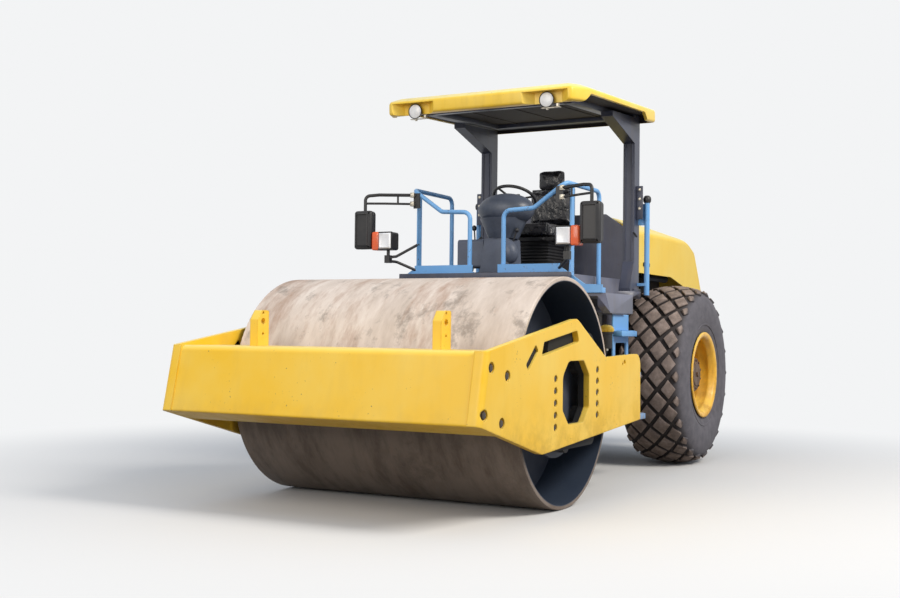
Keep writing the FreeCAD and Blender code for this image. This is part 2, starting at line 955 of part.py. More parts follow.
def articulation_pin():
    """Upright hinge pin with a cap at each end."""
    bottom = hitch_head_bottom - lug_gap - lug_thickness - seat_gap
    top = hitch_head_top + lug_gap + lug_thickness + seat_gap
    pin = cylinder((0, 0, bottom), (0, 0, 1), hinge_pin_radius, top - bottom)
    low = cylinder((0, 0, bottom - pin_cap_height), (0, 0, 1), pin_cap_radius, pin_cap_height)
    high = cylinder((0, 0, top), (0, 0, 1), pin_cap_radius, pin_cap_height)
    return joined([pin, low, high])


def cylinder_barrel():
    """Left steering cylinder barrel with its rear eye and an open bore."""
    y = cylinder_lever
    x = -cylinder_reach
    z = steering_level
    eye = cylinder((x, y, z - eye_half_height), (0, 0, 1), 45, 2 * eye_half_height)
    neck = box(x, x + 70, y - 25, y + 25, z - 25, z + 25)
    body = cylinder((x + 60, y, z), (1, 0, 0), barrel_radius, barrel_length - 60)
    collar = cylinder((x + barrel_length - 45, y, z), (1, 0, 0), barrel_radius + 6, 45)
    whole = joined([eye, neck, body, collar])
    bore = cylinder((x + 90, y, z), (1, 0, 0), rod_radius + fit, barrel_length)
    pin_bore = cylinder((x, y, z - 60), (0, 0, 1), cylinder_pin_radius + fit, 120)
    return whole.cut([bore, pin_bore])


def cylinder_rod():
    """Left steering rod with the eye that turns on the clevis pin."""
    y = cylinder_lever
    x = cylinder_reach + rod_eye_rest_offset
    z = steering_level
    eye = cylinder((x, y, z - eye_half_height), (0, 0, 1), rod_eye_radius, 2 * eye_half_height)
    rod = cylinder((x - rod_length, y, z), (1, 0, 0), rod_radius, rod_length - rod_eye_bore - 8)
    whole = joined([eye, rod])
    return whole.cut(cylinder((x, y, z - 60), (0, 0, 1), rod_eye_bore, 120))


def engine_block():
    """Engine and pumps as one plain block under the hood."""
    w = engine_half_width
    block = box(axle_x - 860, axle_x - 320, -w, w, chassis_top, engine_top)
    return joined([block, box(axle_x - 800, axle_x - 500, -200, 200, engine_top - 10, engine_top + 100)])


def platform():
    """Operator's floor with its lower side wings, side beams and the body under it."""
    front = platform_front_x
    rear = platform_rear_x
    box_front = -cylinder_reach - 25
    inside = floor_half_width
    deck_z = floor_top - floor_thickness
    pieces = [
        box(rear, front, -inside, inside, deck_z, floor_top),
        box(rear - 60, box_front, -inside, inside, body_floor, body_floor + 60),
        box(box_front - 60, box_front, -inside, inside, body_floor, wing_top),
        box(rear - 60, rear, -inside, inside, body_floor, floor_top),
        box(front - 140, front - 60, -inside, inside, wing_top - 10, deck_z + 5),
    ]
    beam_outline = [
        (wing_rear_x, wing_top),
        (front, wing_top),
        (front, wing_beam_front_bottom),
        (front - 110, wing_beam_bottom),
        (wing_rear_x, wing_beam_bottom, 30),
    ]
    lip = floor_half_width - skirt_thickness
    flange = post_y + post_width / 2 + 20
    half = post_depth / 2
    # (x0, x1, inner |y|, outer |y|, z0, z1) of the pieces that each side has
    side_pieces = (
        (rear, front, lip, inside, wing_top - 10, deck_z + 5),
        (wing_rear_x, front, lip, wing_outer, wing_top - 25, wing_top),
        (rear, box_front, inside - 60, inside, body_floor, floor_top - 5),
        (box_front - 30, wing_rear_x + 5, inside - 60, wing_outer - 5, wing_beam_bottom, wing_beam_bottom + 60),
        (post_x - half, post_x + 170, inside - 20, flange, post_foot_z - 60, post_foot_z),
    )
    for side in (-1, 1):
        for x0, x1, inner, outer, z0, z1 in side_pieces:
            y0, y1 = sorted((side * inner, side * outer))
            pieces.append(box(x0, x1, y0, y1, z0, z1))
        y0, y1 = sorted((side * wing_outer, side * (wing_outer - wing_beam_width)))
        pieces.append(side_prism(beam_outline, y0, y1))
    return joined(pieces)


def handrail():
    """Left handrail, up from the floor and back along the side, with its corner bar and kick plates."""
    x = rail_x
    low = inner_rail_top
    front = platform_front_x
    face = front + kick_thickness
    main = tube(
        [
            (x, inner_post_y, floor_top + 5),
            (x, inner_post_y, low),
            (x, rail_knee_y, low + 12),
            (x, outer_post_y, rail_top),
            (rear_post_x, rear_post_y, rail_top - 2),
            (rear_post_x, rear_post_y, wing_top + 2),
        ],
        rail_radius,
        rail_bend,
    )
    bar_end = corner_bar_x + corner_bar_width
    bar = side_prism(
        [
            (corner_bar_x - 12, wing_top),
            (bar_end + 46, wing_top),
            (bar_end, wing_top + 240),
            (bar_end, rail_top - 8),
            (corner_bar_x, rail_top - 8),
            (corner_bar_x, wing_top + 180),
        ],
        rear_post_y - corner_bar_thickness / 2,
        rear_post_y + corner_bar_thickness / 2,
    )
    kick_bottom = floor_top - floor_thickness
    kick = box(front, face, inner_post_y - 35, floor_half_width, kick_bottom, floor_top + kick_height)
    foot = box(x - 20, front + 1, inner_post_y - 30, inner_post_y + 30, floor_top, floor_top + 12)
    rear_foot = box(
        rear_post_x - 40, rear_post_x + 40, rear_post_y - 35, rear_post_y + 35, wing_top, wing_top + 12
    )
    wing_bar = cross_prism(
        [
            (floor_half_width - 40, kick_bottom + 10),
            (floor_half_width - 40, floor_top + kick_height),
            (floor_half_width + 40, floor_top + 20),
            (wing_outer - 157, wing_top + 65),
            (wing_outer - 20, wing_top + 60),
            (wing_outer - 20, wing_top),
            (wing_outer - 167, wing_top),
        ],
        front,
        face,
    )
    return joined([main, bar, kick, foot, rear_foot, wing_bar])


def mirror():
    """Left rear-view mirror with its two-tube arm and the plate that holds it to the rail's corner."""
    x = mirror_x
    y = mirror_y
    w = mirror_half_width
    low = mirror_top - mirror_height
    housing = cross_prism(
        [(y - w, low, 30), (y + w, low, 30), (y + w, mirror_top, 30), (y - w, mirror_top, 30)], x - 30, x + 25
    )
    root = rail_x + 17
    root_y = outer_post_y - 35
    z = rail_top
    upper = [(root, root_y, z - 45), (x - 60, y - 90, z - 48), (x, y, z - 60), (x, y, mirror_top - 30)]
    lower = [(root, root_y, z - 115), (x - 90, y - 130, z - 115), (x - 2, y - 3, z - 118)]
    plate = box(rail_x + 11, rail_x + 25, root_y - 35, root_y + 20, z - 150, z - 30)
    return joined([housing, tube(upper, 13, 40), tube(lower, 9, 35), plate]).cut(handrail())


def head_lamp():
    """Left head lamp and indicator on a stem that two arms hold out from the bar and the kick plate."""
    x = lamp_x
    y = lamp_y
    z = lamp_z
    body = cross_prism(
        [(y - 80, z - 70, 20), (y + 70, z - 70, 20), (y + 70, z + 70, 20), (y - 80, z + 70, 20)], x - 90, x
    )
    indicator = cross_prism(
        [(y + 70, z - 60), (y + 100, z - 60, 14), (y + 100, z + 60, 14), (y + 70, z + 60)], x - 70, x - 5
    )
    stem_x = x - 50
    stem_y = y - 12
    clamp_z = z - 140
    stem = cylinder((stem_x, stem_y, clamp_z - 25), (0, 0, 1), 13, 100)
    clamp = box(stem_x - 22, stem_x + 22, stem_y - 22, stem_y + 22, clamp_z - 30, clamp_z + 30)
    bar_end = corner_bar_x + corner_bar_width
    upper = [
        (bar_end - 20, rear_post_y, z - 5),
        (stem_x - 80, stem_y - 25, clamp_z + 25),
        (stem_x, stem_y, clamp_z + 14),
    ]
    lower = [
        (platform_front_x + 5, floor_half_width - 5, floor_top + 30),
        (stem_x - 80, stem_y - 30, clamp_z - 18),
        (stem_x, stem_y, clamp_z - 14),
    ]
    pieces = [body, indicator, stem, clamp, tube(upper, 11, 30), tube(lower, 11, 40)]
    return joined(pieces).cut(handrail())


def console():
    """Rounded instrument console above its column."""
    x = console_x
    y = console_y
    wide = console_half_width
    dome = Part.makeSphere(wide, V(0, 0, 0))
    shape = FreeCAD.Matrix()
    shape.scale(console_half_depth / wide, 1, console_half_height / wide)
    dome = dome.transformGeometry(shape)
    dome.translate(V(x, y, console_z))
    under = box(x - 300, x + 300, y - 300, y + 300, column_top - 90, console_floor)
    neck_height = console_floor + 20 - column_top
    neck = Part.makeCone(120, 190, neck_height, V(x, y - 20, column_top), V(0, 0, 1))
    whole = joined([dome.cut(under), neck])
    stem_start = wheel_centre - wheel_tilt * wheel_stem_drop
    return whole.cut(Part.makeCylinder(wheel_stem_radius + seat_gap, 400, stem_start, wheel_tilt))


def console_column():
    """Column under the console, with a box on its right and a lever pod on its left."""
    x = console_x
    sides = [(-190, floor_top), (75, floor_top), (60, column_top, 20), (-150, column_top, 20)]
    column = cross_prism(sides, x - 110, x + 110)
    side_box = side_prism(
        [(x - 60, 1660, 20), (x + 90, 1660, 20), (x + 90, 1888, 30), (x - 60, 1888, 30)], -400, -170
    )
    pod = Part.makeSphere(60, V(0, 0, 0))
    shape = FreeCAD.Matrix()
    shape.scale(1, 1.1, 1.55)
    pod = pod.transformGeometry(shape)
    pod.rotate(V(0, 0, 0), V(1, 0, 0), 18)
    pod.translate(V(x + 105, 72, 1780))
    return joined([column, side_box, pod])


def steering_wheel():
    """Steering wheel on the console."""
    centre = wheel_centre
    tilt = wheel_tilt
    ring = Part.makeTorus(wheel_ring_radius, 13, centre, tilt)
    stem_foot = centre - tilt * (wheel_stem_drop - seat_gap)
    stem = Part.makeCylinder(wheel_stem_radius, wheel_stem_drop - 10, stem_foot, tilt)
    pieces = [ring, stem]
    for i in range(3):
        spoke = Part.makeCylinder(11, wheel_ring_radius - 2, V(0, 0, 0), V(1, 0, 0))
        spoke.rotate(V(0, 0, 0), V(0, 0, 1), 120 * i + 30)
        spoke.rotate(V(0, 0, 0), V(0, 1, 0), -math.degrees(math.atan(0.35)))
        spoke.translate(centre - tilt * 18)
        pieces.append(spoke)
    return joined(pieces)


def seat_base():
    """Seat box, bellows and slide plate."""
    x = seat_x
    plinth = box(x - 230, x + 210, -230, 230, floor_top, floor_top + 130)
    bellows = box(x - 170, x + 160, -160, 160, floor_top + 130, seat_pan_top - 30)
    pan = box(x - 230, x + 230, -230, 230, seat_pan_top - 30, seat_pan_top)
    return joined([plinth, bellows, pan])


def seat_cushion():
    """Seat cushion."""
    x = seat_x
    low = seat_pan_top + seat_gap
    top = seat_front_top
    outline = [
        (x - 200, low, 20),
        (x + 250, low, 30),
        (x + 260, top, 45),
        (x - 120, top - 20, 30),
        (x - 200, top - 10, 20),
    ]
    return side_prism(outline, -seat_half_width, seat_half_width)


def seat_back():
    """Backrest with its headrest and a bar down to the seat pan."""
    rear = seat_x - 310
    front = seat_x - 210
    w = seat_half_width - 10
    neck = headrest_top - 120
    back = cross_prism(
        [
            (-w, seat_front_top - 5, 40),
            (w, seat_front_top - 5, 40),
            (w - 20, neck - 30, 70),
            (120, neck, 30),
            (105, headrest_top, 40),
            (-105, headrest_top, 40),
            (-120, neck, 30),
            (-w + 20, neck - 30, 70),
        ],
        rear,
        front,
    )
    bar = box(rear + 40, rear + 80, -150, 150, seat_pan_top - 25, seat_front_top + 10)
    return joined([back, bar])


def rops_post():
    """Left roll-over post with its flared foot and the gusset under the canopy."""
    x = post_x
    half = post_depth / 2
    y0 = post_y - post_width / 2
    y1 = post_y + post_width / 2
    post = side_prism(
        [
            (x - half, post_foot_z),
            (x + half + 90, post_foot_z),
            (x + half + 90, post_foot_z + 25),
            (x + half, post_foot_z + 250),
            (x + half, post_top_z - 150),
            (x + half + 520, post_top_z),
            (x - half, post_top_z),
        ],
        y0,
        y1,
    )
    return post


def rops_top():
    """Cross members and two roof rails between the posts and the canopy."""
    half = post_depth / 2
    y1 = post_y + post_width / 2
    top = canopy_crown - canopy_skin
    front = canopy_front_x - 330
    pieces = [box(post_x - half, post_x + half, -y1, y1, post_top_z, post_top_z + 60)]
    pieces.append(box(front - 70, front, -roof_rail_y - 40, roof_rail_y + 40, post_top_z, post_top_z + 60))
    for side in (-1, 1):
        y0 = side * roof_rail_y
        pieces.append(box(post_x + half, front, y0 - 40, y0 + 40, post_top_z, top))
    return joined(pieces)


def canopy_form(inset):
    """The roof's outer form, or the room inside it when inset is the skin."""
    w = canopy_half_width - inset
    front = canopy_front_x - inset
    rear = canopy_rear_x + inset
    half = canopy_front_half - inset * 0.6
    chamfer = canopy_chamfer
    slope = 75
    rim = [
        (rear, -w, 60),
        (front - chamfer, -w, 40),
        (front, -half, 40),
        (front, half, 40),
        (front - chamfer, w, 40),
        (rear, w, 60),
    ]
    crown = [
        (rear + slope, -w + 2 * slope, 60),
        (front - chamfer - slope, -w + 2 * slope, 40),
        (front - 2 * slope, -half + slope, 40),
        (front - 2 * slope, half - slope, 40),
        (front - chamfer - slope, w - 2 * slope, 40),
        (rear + slope, w - 2 * slope, 60),
    ]
    edge = canopy_edge_top - inset * 0.3
    band = flat_prism(rim, canopy_edge_bottom - inset, edge)
    low = rounded_wire(rim, lambda p: V(p.x, p.y, edge))
    high = rounded_wire(crown, lambda p: V(p.x, p.y, canopy_crown - inset))
    return band.fuse(Part.makeLoft([low, high], True, True))


def canopy():
    """Roof shell with a raised crown, chamfered front corners and a pocket at each front lamp."""
    shell = canopy_form(0).cut(canopy_form(canopy_skin))
    pieces = [shell]
    cuts = []
    wall_x = canopy_front_x - lamp_pocket_depth
    low = canopy_edge_bottom
    for side in (-1, 1):
        y0 = side * work_lamp_y - lamp_pocket_half
        y1 = side * work_lamp_y + lamp_pocket_half
        walls = box(wall_x - 12, canopy_front_x + 5, y0 - 12, y1 + 12, low, lamp_pocket_top + 12)
        pieces.append(walls.common(canopy_form(0)))
        cuts.append(box(wall_x, canopy_front_x + 10, y0, y1, low - 5, lamp_pocket_top))
    whole = shell.fuse(pieces[1:]).cut(cuts)
    return whole.removeSplitter()


def work_lamps():
    """Two round work lamps in the pockets at the front of the canopy."""
    lamps = []
    wall_x = canopy_front_x - lamp_pocket_depth
    for side in (-1, 1):
        centre = (wall_x, side * work_lamp_y, work_lamp_z)
        body = cylinder(centre, (1, 0, 0), work_lamp_radius, lamp_pocket_depth - 25)
        lamps.append(body)
    return lamps


def hood():
    """Engine hood: a shell with sloping shoulders that falls away to the rear, with its hinge lugs."""
    w = hood_half_width
    t = hood_skin
    shell = hood_form(0).cut(hood_form(t))
    arch = side_prism(
        [
            (hood_front_x + 10, hood_cut_z),
            (hood_front_x + 10, hood_arch_z),
            (axle_x - 125, hood_arch_z, 120),
            (axle_x - 465, hood_arch_z - 65, 120),
            (axle_x - 625, hood_foot_z - 20, 100),
            (hood_rear_x - 30, hood_foot_z - 20),
            (hood_rear_x - 30, hood_cut_z),
        ],
        -w - 10,
        w + 10,
    )
    shell = shell.cut(arch)
    pieces = [shell]
    for side in (-1, 1):
        y = side * hood_hinge_y
        lug = side_prism(
            [
                (hood_hinge_x - 4, hood_hinge_z - 18),
                (hood_rear_x + 60, hood_hinge_z + 5),
                (hood_rear_x + 50, hood_hinge_z + 60),
                (hood_hinge_x - 4, hood_hinge_z + 18),
            ],
            y - hinge_lug_thickness / 2,
            y + hinge_lug_thickness / 2,
        )
        eye_start = (hood_hinge_x, y - hinge_lug_thickness / 2, hood_hinge_z)
        eye = cylinder(eye_start, (0, 1, 0), 20, hinge_lug_thickness)
        pieces.append(lug.fuse(eye))
    whole = joined(pieces)
    bore = cylinder((hood_hinge_x, -w, hood_hinge_z), (0, 1, 0), hood_pin_radius + fit, 2 * w)
    return whole.cut(bore)


def hood_form(inset):
    """The hood's outer form, or its inside when inset is the skin."""
    w = hood_half_width - inset
    top = hood_top - inset
    edge = hood_edge_z - inset
    shoulder = hood_shoulder_y
    low = hood_cut_z if inset else hood_cut_z + 100
    reach = 40 if inset else 0
    across = cross_prism(
        [(-w, low), (w, low), (w, edge, 60), (shoulder, top, 90), (-shoulder, top, 90), (-w, edge, 60)],
        hood_rear_x - 100,
        hood_front_x + reach,
    )
    along = side_prism(
        [
            (hood_front_x + reach, low),
            (hood_front_x + reach, top),
            (axle_x + 325, top, 300),
            (axle_x - 525, top - 110, 200),
            (hood_slope_x + inset, hood_slope_z - inset, 120),
            (hood_rear_x + inset * 1.4, hood_foot_z),
            (hood_rear_x + inset * 1.4, low),
        ],
        -w,
        w,
    )
    return across.common(along)


def rear_grille():
    """Louvred grille that stands on the sloping rear face of the hood."""
    dx = hood_rear_x - hood_slope_x
    dz = hood_foot_z - hood_slope_z
    length = math.hypot(dx, dz)
    size = length * 0.58
    half = grille_half_width
    rim = grille_frame
    depth = grille_depth
    frame = box(0, size, -half, half, -depth, 0)
    room = box(rim, size - rim, -half + rim, half - rim, -depth - 5, -16)
    pieces = [frame.cut(room)]
    spacing = (size - 2 * rim) / grille_slats
    for i in range(grille_slats):
        slat = box(-4, 4, -half + rim - 1, half - rim + 1, -depth + 12, -15)
        middle = V(0, 0, -depth / 2)
        slat.rotate(middle, V(0, 1, 0), 32)
        slat.translate(V(rim + (i + 0.5) * spacing, 0, 0))
        pieces.append(slat)
    grille = joined(pieces)
    grille.rotate(V(0, 0, 0), V(0, 1, 0), math.degrees(math.atan2(-dz, dx)))
    grille.translate(V(hood_slope_x + 0.27 * dx, 0, hood_slope_z + 0.27 * dz))
    return grille


def bulkhead():
    """Wall between the operator and the engine."""
    w = bulkhead_half_width
    x = platform_rear_x - 60
    edge = hood_edge_z + 10
    outline = [
        (-w, floor_top),
        (w, floor_top),
        (w, edge),
        (hood_shoulder_y, bulkhead_top),
        (-hood_shoulder_y, bulkhead_top),
        (-w, edge),
    ]
    return cross_prism(outline, x, x + bulkhead_thickness)


def steps():
    """Left access steps in front of the tyre, hung from the platform."""
    inner = step_inner_y
    outer = step_outer_y
    low = 545
    # (rear, front, top) of each tread
    treads = (
        (step_middle_x + 20, step_front_x, 1145),
        (step_rear_x, step_middle_x, 860),
        (step_rear_x, step_middle_x, 575),
    )
    pieces = [box(x0, x1, inner, outer, z - 30, z) for x0, x1, z in treads]
    hanger_x = step_middle_x + 15
    pieces.append(box(hanger_x, hanger_x + 30, 640, wing_outer - 20, 1115, wing_beam_bottom))
    pieces.append(box(step_rear_x - 20, step_rear_x, floor_half_width, outer, low, body_floor + 60))
    pieces.append(box(step_middle_x, step_middle_x + 15, inner, outer, low, 1145))
    return joined(pieces)


def grab_pole():
    """Left grab pole beside the roll-over post, with a knob on top and a bolted bracket."""
    x = post_x - 45
    y = post_y + post_width / 2 + 75
    side = post_y + post_width / 2
    pole = cylinder((x, y, post_foot_z - 30), (0, 0, 1), grab_pole_radius, 800)
    knob = Part.makeSphere(32, V(x, y, post_foot_z + 778))
    upper = box(x - 8, x + 8, side, y, 2060, 2240)
    lower = box(x - 25, x + 25, side, y, 1548, 1572)
    return joined([pole, knob, upper, lower])


def rear_bumper():
    """Counterweight across the back of the machine, with its tow jaw and the pins of the hood's hinges."""
    w = bumper_half_width
    x0 = -half_length
    x1 = chassis_rear_x
    body = side_prism(
        [
            (x0, 800, 60),
            (x0, 1480, 80),
            (x0 + 120, bumper_top, 40),
            (x1, bumper_top, 20),
            (x1, bumper_bottom, 30),
            (x0 + 90, bumper_bottom, 30),
        ],
        -w,
        w,
    )
    pieces = [body]
    for side in (-1, 1):
        y = side * hood_hinge_y
        reach = hinge_lug_thickness / 2 + 22
        pin_start = (hood_hinge_x, y - reach, hood_hinge_z)
        pieces.append(cylinder(pin_start, (0, 1, 0), hood_pin_radius, 2 * reach))
        for way in (-1, 1):
            y0 = y + way * (reach - 8)
            z = hood_hinge_z
            pieces.append(box(x1 - 20, hood_hinge_x + 18, y0 - 8, y0 + 8, z - 45, z + 18))
    jaw = box(x0 - 5, tow_pin_x + 65, -tow_jaw_half, tow_jaw_half, tow_jaw_bottom, tow_jaw_top)
    pin_bore = tow_jaw_top + 65 - bumper_bottom
    pin = cylinder((tow_pin_x, 0, bumper_bottom - 5), (0, 0, 1), tow_pin_radius, pin_bore)
    return joined(pieces).cut(tail_lamps(4) + [jaw, pin])


def tail_lamps(proud=0):
    """Tail lamps let into the counterweight, or their pockets when they stand proud."""
    x0 = -half_length + 2 - proud
    lamps = []
    for side in (-1, 1):
        y = side * tail_lamp_y
        lamps.append(box(x0, -half_length + 30, y - 70, y + 70, tail_lamp_z - 35, tail_lamp_z + 35))
    return lamps


def build():
    """Every sub-part by name."""
    nodes = {}
    pair(nodes, "side_plate", side_plate())
    nodes["front_beam"] = front_beam()
    nodes["rear_beam"] = rear_beam()
    nodes["drum_scrapers"] = Part.Compound(drum_scrapers())
    pair(nodes, "drum_carrier", drum_carrier())
    pair(nodes, "shock_mounts", Part.Compound(shock_mounts()))
    pair(nodes, "mount_plate", mount_plate())
    nodes["drum_shell"] = drum_shell()
    pair(nodes, "drum_head", drum_head())
    pair(nodes, "tyre", tyre())
    pair(nodes, "rim", rim())
    pair(nodes, "wheel_hub", wheel_hub())
    nodes["rear_axle"] = rear_axle()
    nodes["rear_chassis"] = rear_chassis()
    nodes["articulation_pin"] = articulation_pin()
    pair(nodes, "cylinder_barrel", cylinder_barrel())
    pair(nodes, "cylinder_rod", cylinder_rod())
    nodes["engine_block"] = engine_block()
    nodes["platform"] = platform()
    pair(nodes, "handrail", handrail())
    pair(nodes, "mirror", mirror())
    pair(nodes, "head_lamp", head_lamp())
    nodes["console"] = console()
    nodes["console_column"] = console_column()
    nodes["steering_wheel"] = steering_wheel()
    nodes["seat_base"] = seat_base()
    nodes["seat_cushion"] = seat_cushion()
    nodes["seat_back"] = seat_back()
    pair(nodes, "rops_post", rops_post())
    nodes["rops_top"] = rops_top()
    nodes["canopy"] = canopy()
    nodes["work_lamps"] = Part.Compound(work_lamps())
    nodes["hood"] = hood()
    nodes["rear_grille"] = rear_grille()
    nodes["bulkhead"] = bulkhead()
    pair(nodes, "steps", steps())
    pair(nodes, "grab_pole", grab_pole())
    nodes["rear_bumper"] = rear_bumper()
    nodes["tail_lamps"] = Part.Compound(tail_lamps())
    return nodes


os.makedirs("parts", exist_ok=True)
for name, shape in build().items():
    shape.exportStep(os.path.join("parts", name + ".step"))
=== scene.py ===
# %% [markdown]
# # A single-drum road roller
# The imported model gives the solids: drum, tyres, frames, platform, roof and hood, each in its
# real place. This lesson dresses them. Hard solids that are right keep their mesh and get a paint
# or a bare metal; the tyres, the rims, the seat and the small fittings are modelled again,
# because what tells them apart at a glance is finer than a solid should be.

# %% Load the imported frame
import functools
import math

import bpy
from mathutils import Matrix, Vector


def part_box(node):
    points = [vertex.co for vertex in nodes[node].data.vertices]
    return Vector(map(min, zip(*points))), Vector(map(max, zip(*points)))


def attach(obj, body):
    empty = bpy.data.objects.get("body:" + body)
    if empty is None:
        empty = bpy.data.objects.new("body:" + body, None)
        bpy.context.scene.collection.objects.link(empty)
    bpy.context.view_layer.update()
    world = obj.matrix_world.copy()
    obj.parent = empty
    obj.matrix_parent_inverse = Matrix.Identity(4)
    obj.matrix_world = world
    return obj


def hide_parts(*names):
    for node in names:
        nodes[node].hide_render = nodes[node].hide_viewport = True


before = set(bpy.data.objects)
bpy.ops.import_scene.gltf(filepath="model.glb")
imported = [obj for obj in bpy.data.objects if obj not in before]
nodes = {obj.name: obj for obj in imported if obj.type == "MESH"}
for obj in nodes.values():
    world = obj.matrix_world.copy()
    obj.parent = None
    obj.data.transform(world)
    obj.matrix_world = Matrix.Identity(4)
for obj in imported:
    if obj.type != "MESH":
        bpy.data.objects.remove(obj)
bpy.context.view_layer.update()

# %% [markdown]
# ## The camera
# A photographer stands about ten metres off, in front and to the machine's left, with the lens at
# chest height. A camera could be aimed with a Track To constraint, but its place, heading, pitch
# and roll were worked out together from corners with known sizes, so they are given as numbers.

# %% Place the camera
camera_data = bpy.data.cameras.new("camera")
camera_data.sensor_width = 36.0
camera_data.lens = 36.0 * 1190 / 900
camera = bpy.data.objects.new("camera", camera_data)
bpy.context.scene.collection.objects.link(camera)
heading = -2.642
pitch = 0.0257
roll = 0.0114
look = Vector((math.cos(heading), math.sin(heading), math.tan(pitch))).normalized()
turn = look.to_track_quat("-Z", "Y").to_matrix().to_4x4() @ Matrix.Rotation(roll, 4, "Z")
camera.matrix_world = Matrix.Translation((8.785, 4.131, 1.164)) @ turn
bpy.context.scene.camera = camera
print("lens in mm", round(camera_data.lens, 1), "looking along", [round(v, 3) for v in look])

# %% [markdown]
# ## A helper for shader nodes
# Every material below is a small tree of nodes. Nodes could be placed by hand in the editor; in a
# script one function that adds a node, sets it and links it keeps each tree readable. Colours are
# written as a paint chart gives them, in sRGB hex, and one more function makes them linear.

# %% Add a shader node, and start a finish
def linear(hex_colour):
    """An sRGB hex colour as the linear RGBA that shaders work in."""
    parts = [int(hex_colour[i : i + 2], 16) / 255 for i in (1, 3, 5)]
    return tuple(c / 12.92 if c <= 0.04045 else ((c + 0.055) / 1.055) ** 2.4 for c in parts) + (1.0,)


def link(node, inputs):
    """Gives a node's inputs their values; each is a plain value or another node's output."""
    for socket, value in inputs.items():
        if isinstance(value, bpy.types.NodeSocket):
            node.id_data.links.new(value, node.inputs[socket])
        else:
            node.inputs[socket].default_value = value


def add_to(tree, kind, inputs, out=0, stops=(), **settings):
    """Adds a node with its settings, a ramp's stops and its inputs, and gives one of its outputs."""
    made = tree.nodes.new("ShaderNode" + kind)
    for key, value in settings.items():
        setattr(made, key, value)
    for i, (position, colour) in enumerate(stops):
        if i > 1:
            made.color_ramp.elements.new(position)
        made.color_ramp.elements[i].position = position
        made.color_ramp.elements[i].color = linear(colour)
    link(made, inputs)
    return made.outputs[out]


def new_finish(name, colour, roughness, ior=1.5, metallic=0.0):
    """A new material with plain values, what adds nodes to it, its shader and the object's place."""
    material = bpy.data.materials.new(name)
    material.use_nodes = True
    tree = material.node_tree
    shader = tree.nodes["Principled BSDF"]
    link(shader, {"Base Color": linear(colour), "Roughness": roughness, "Metallic": metallic})
    if not metallic:
        link(shader, {"IOR": ior})
    add = functools.partial(add_to, tree)
    return material, add, shader, add("TexCoord", {}, "Object")


def marks(add, where, size_mm, low, high, most=1.0, detail=2.0, roughness=0.5):
    """Noise of a given size, cut off between two levels: how much of a mark each point gets."""
    settings = {"Scale": 1000 / size_mm, "Detail": detail, "Roughness": roughness}
    noise = add("TexNoise", {0: where, **settings})
    return add("MapRange", {0: noise, "From Min": low, "From Max": high, "To Max": most})


# %% [markdown]
# ## Floor, sky and lamps
# A photo studio would use a paper sweep. Here the floor is one very large pale sheet that goes
# over into the white background with distance, so no horizon shows, and it keeps the machine's
# shadow. An open sky could light the roller alone, but then nothing has a direction, so one large
# soft lamp stands high on the machine's left, and a weaker one fills the shade in front.

# %% Floor
def straight_look(add):
    """One for rays that show the place itself: seen, mirrored, or through glass; else nought."""
    seen = add("LightPath", {}, "Is Camera Ray")
    for way in ("Is Glossy Ray", "Is Transmission Ray"):
        seen = add("Math", {0: seen, 1: add("LightPath", {}, way)}, operation="MAXIMUM")
    return seen


bpy.ops.object.select_all(action="DESELECT")
bpy.ops.mesh.primitive_plane_add(size=160, location=(0, 0, 0))
floor = bpy.context.object
floor.name = "floor"
paper, add, shader, spot = new_finish("studio_paper_matt", "#DEDDDB", 0.9)
far_off = add("VectorMath", {0: spot}, "Value", operation="LENGTH")
reach = {"From Min": 2.4, "From Max": 6.5}
fade = add("MapRange", {0: far_off, **reach}, interpolation_type="SMOOTHSTEP")
seen = straight_look(add)
share = add("Math", {0: seen, 1: fade}, operation="MULTIPLY")
# what the floor throws back on the machine is as dull as the ground of a work site
tones = {6: linear("#7C766F"), 7: linear("#DEDDDB")}
link(shader, {"Base Color": add("Mix", {0: seen, **tones}, 2, data_type="RGBA")})
white = add("Emission", {"Color": linear("#F3F4F5"), "Strength": 1.0})
sweep = add("MixShader", {0: share, 1: shader.outputs[0], 2: white})
link(paper.node_tree.nodes["Material Output"], {"Surface": sweep})
floor.data.materials.append(paper)

# %% Sky and lamps
world = bpy.data.worlds.new("plain_pale_sky")
bpy.context.scene.world = world
world.use_nodes = True
sky = world.node_tree
background = sky.nodes["Background"]
link(background, {"Color": linear("#DCE8FA"), "Strength": 0.60})
add = functools.partial(add_to, sky)
white = add("Background", {"Color": linear("#F3F4F5"), "Strength": 1.0})
mixed = add("MixShader", {0: straight_look(add), 1: background.outputs[0], 2: white})
link(sky.nodes["World Output"], {"Surface": mixed})

# name, watts, size in metres, place, aim, colour
lamps = (
    ("key_lamp", 1120, 4.0, (2.0, 9.0, 8.5), (0.0, 0.0, 1.2), "#FFF9F0"),
    ("front_lamp", 450, 6.0, (10.5, -1.0, 5.0), (0.5, 0.0, 1.2), "#FFF7EC"),
)
for name, watts, size, place, aim, colour in lamps:
    lamp_data = bpy.data.lights.new(name, "AREA")
    lamp_data.energy = watts
    lamp_data.size = size
    lamp_data.color = linear(colour)[:3]
    lamp = bpy.data.objects.new(name, lamp_data)
    bpy.context.scene.collection.objects.link(lamp)
    towards = (Vector(aim) - Vector(place)).to_track_quat("-Z", "Y").to_matrix().to_4x4()
    lamp.matrix_world = Matrix.Translation(place) @ towards
bpy.context.scene.view_settings.view_transform = "Standard"
print("lamps", [name for name, *_ in lamps])
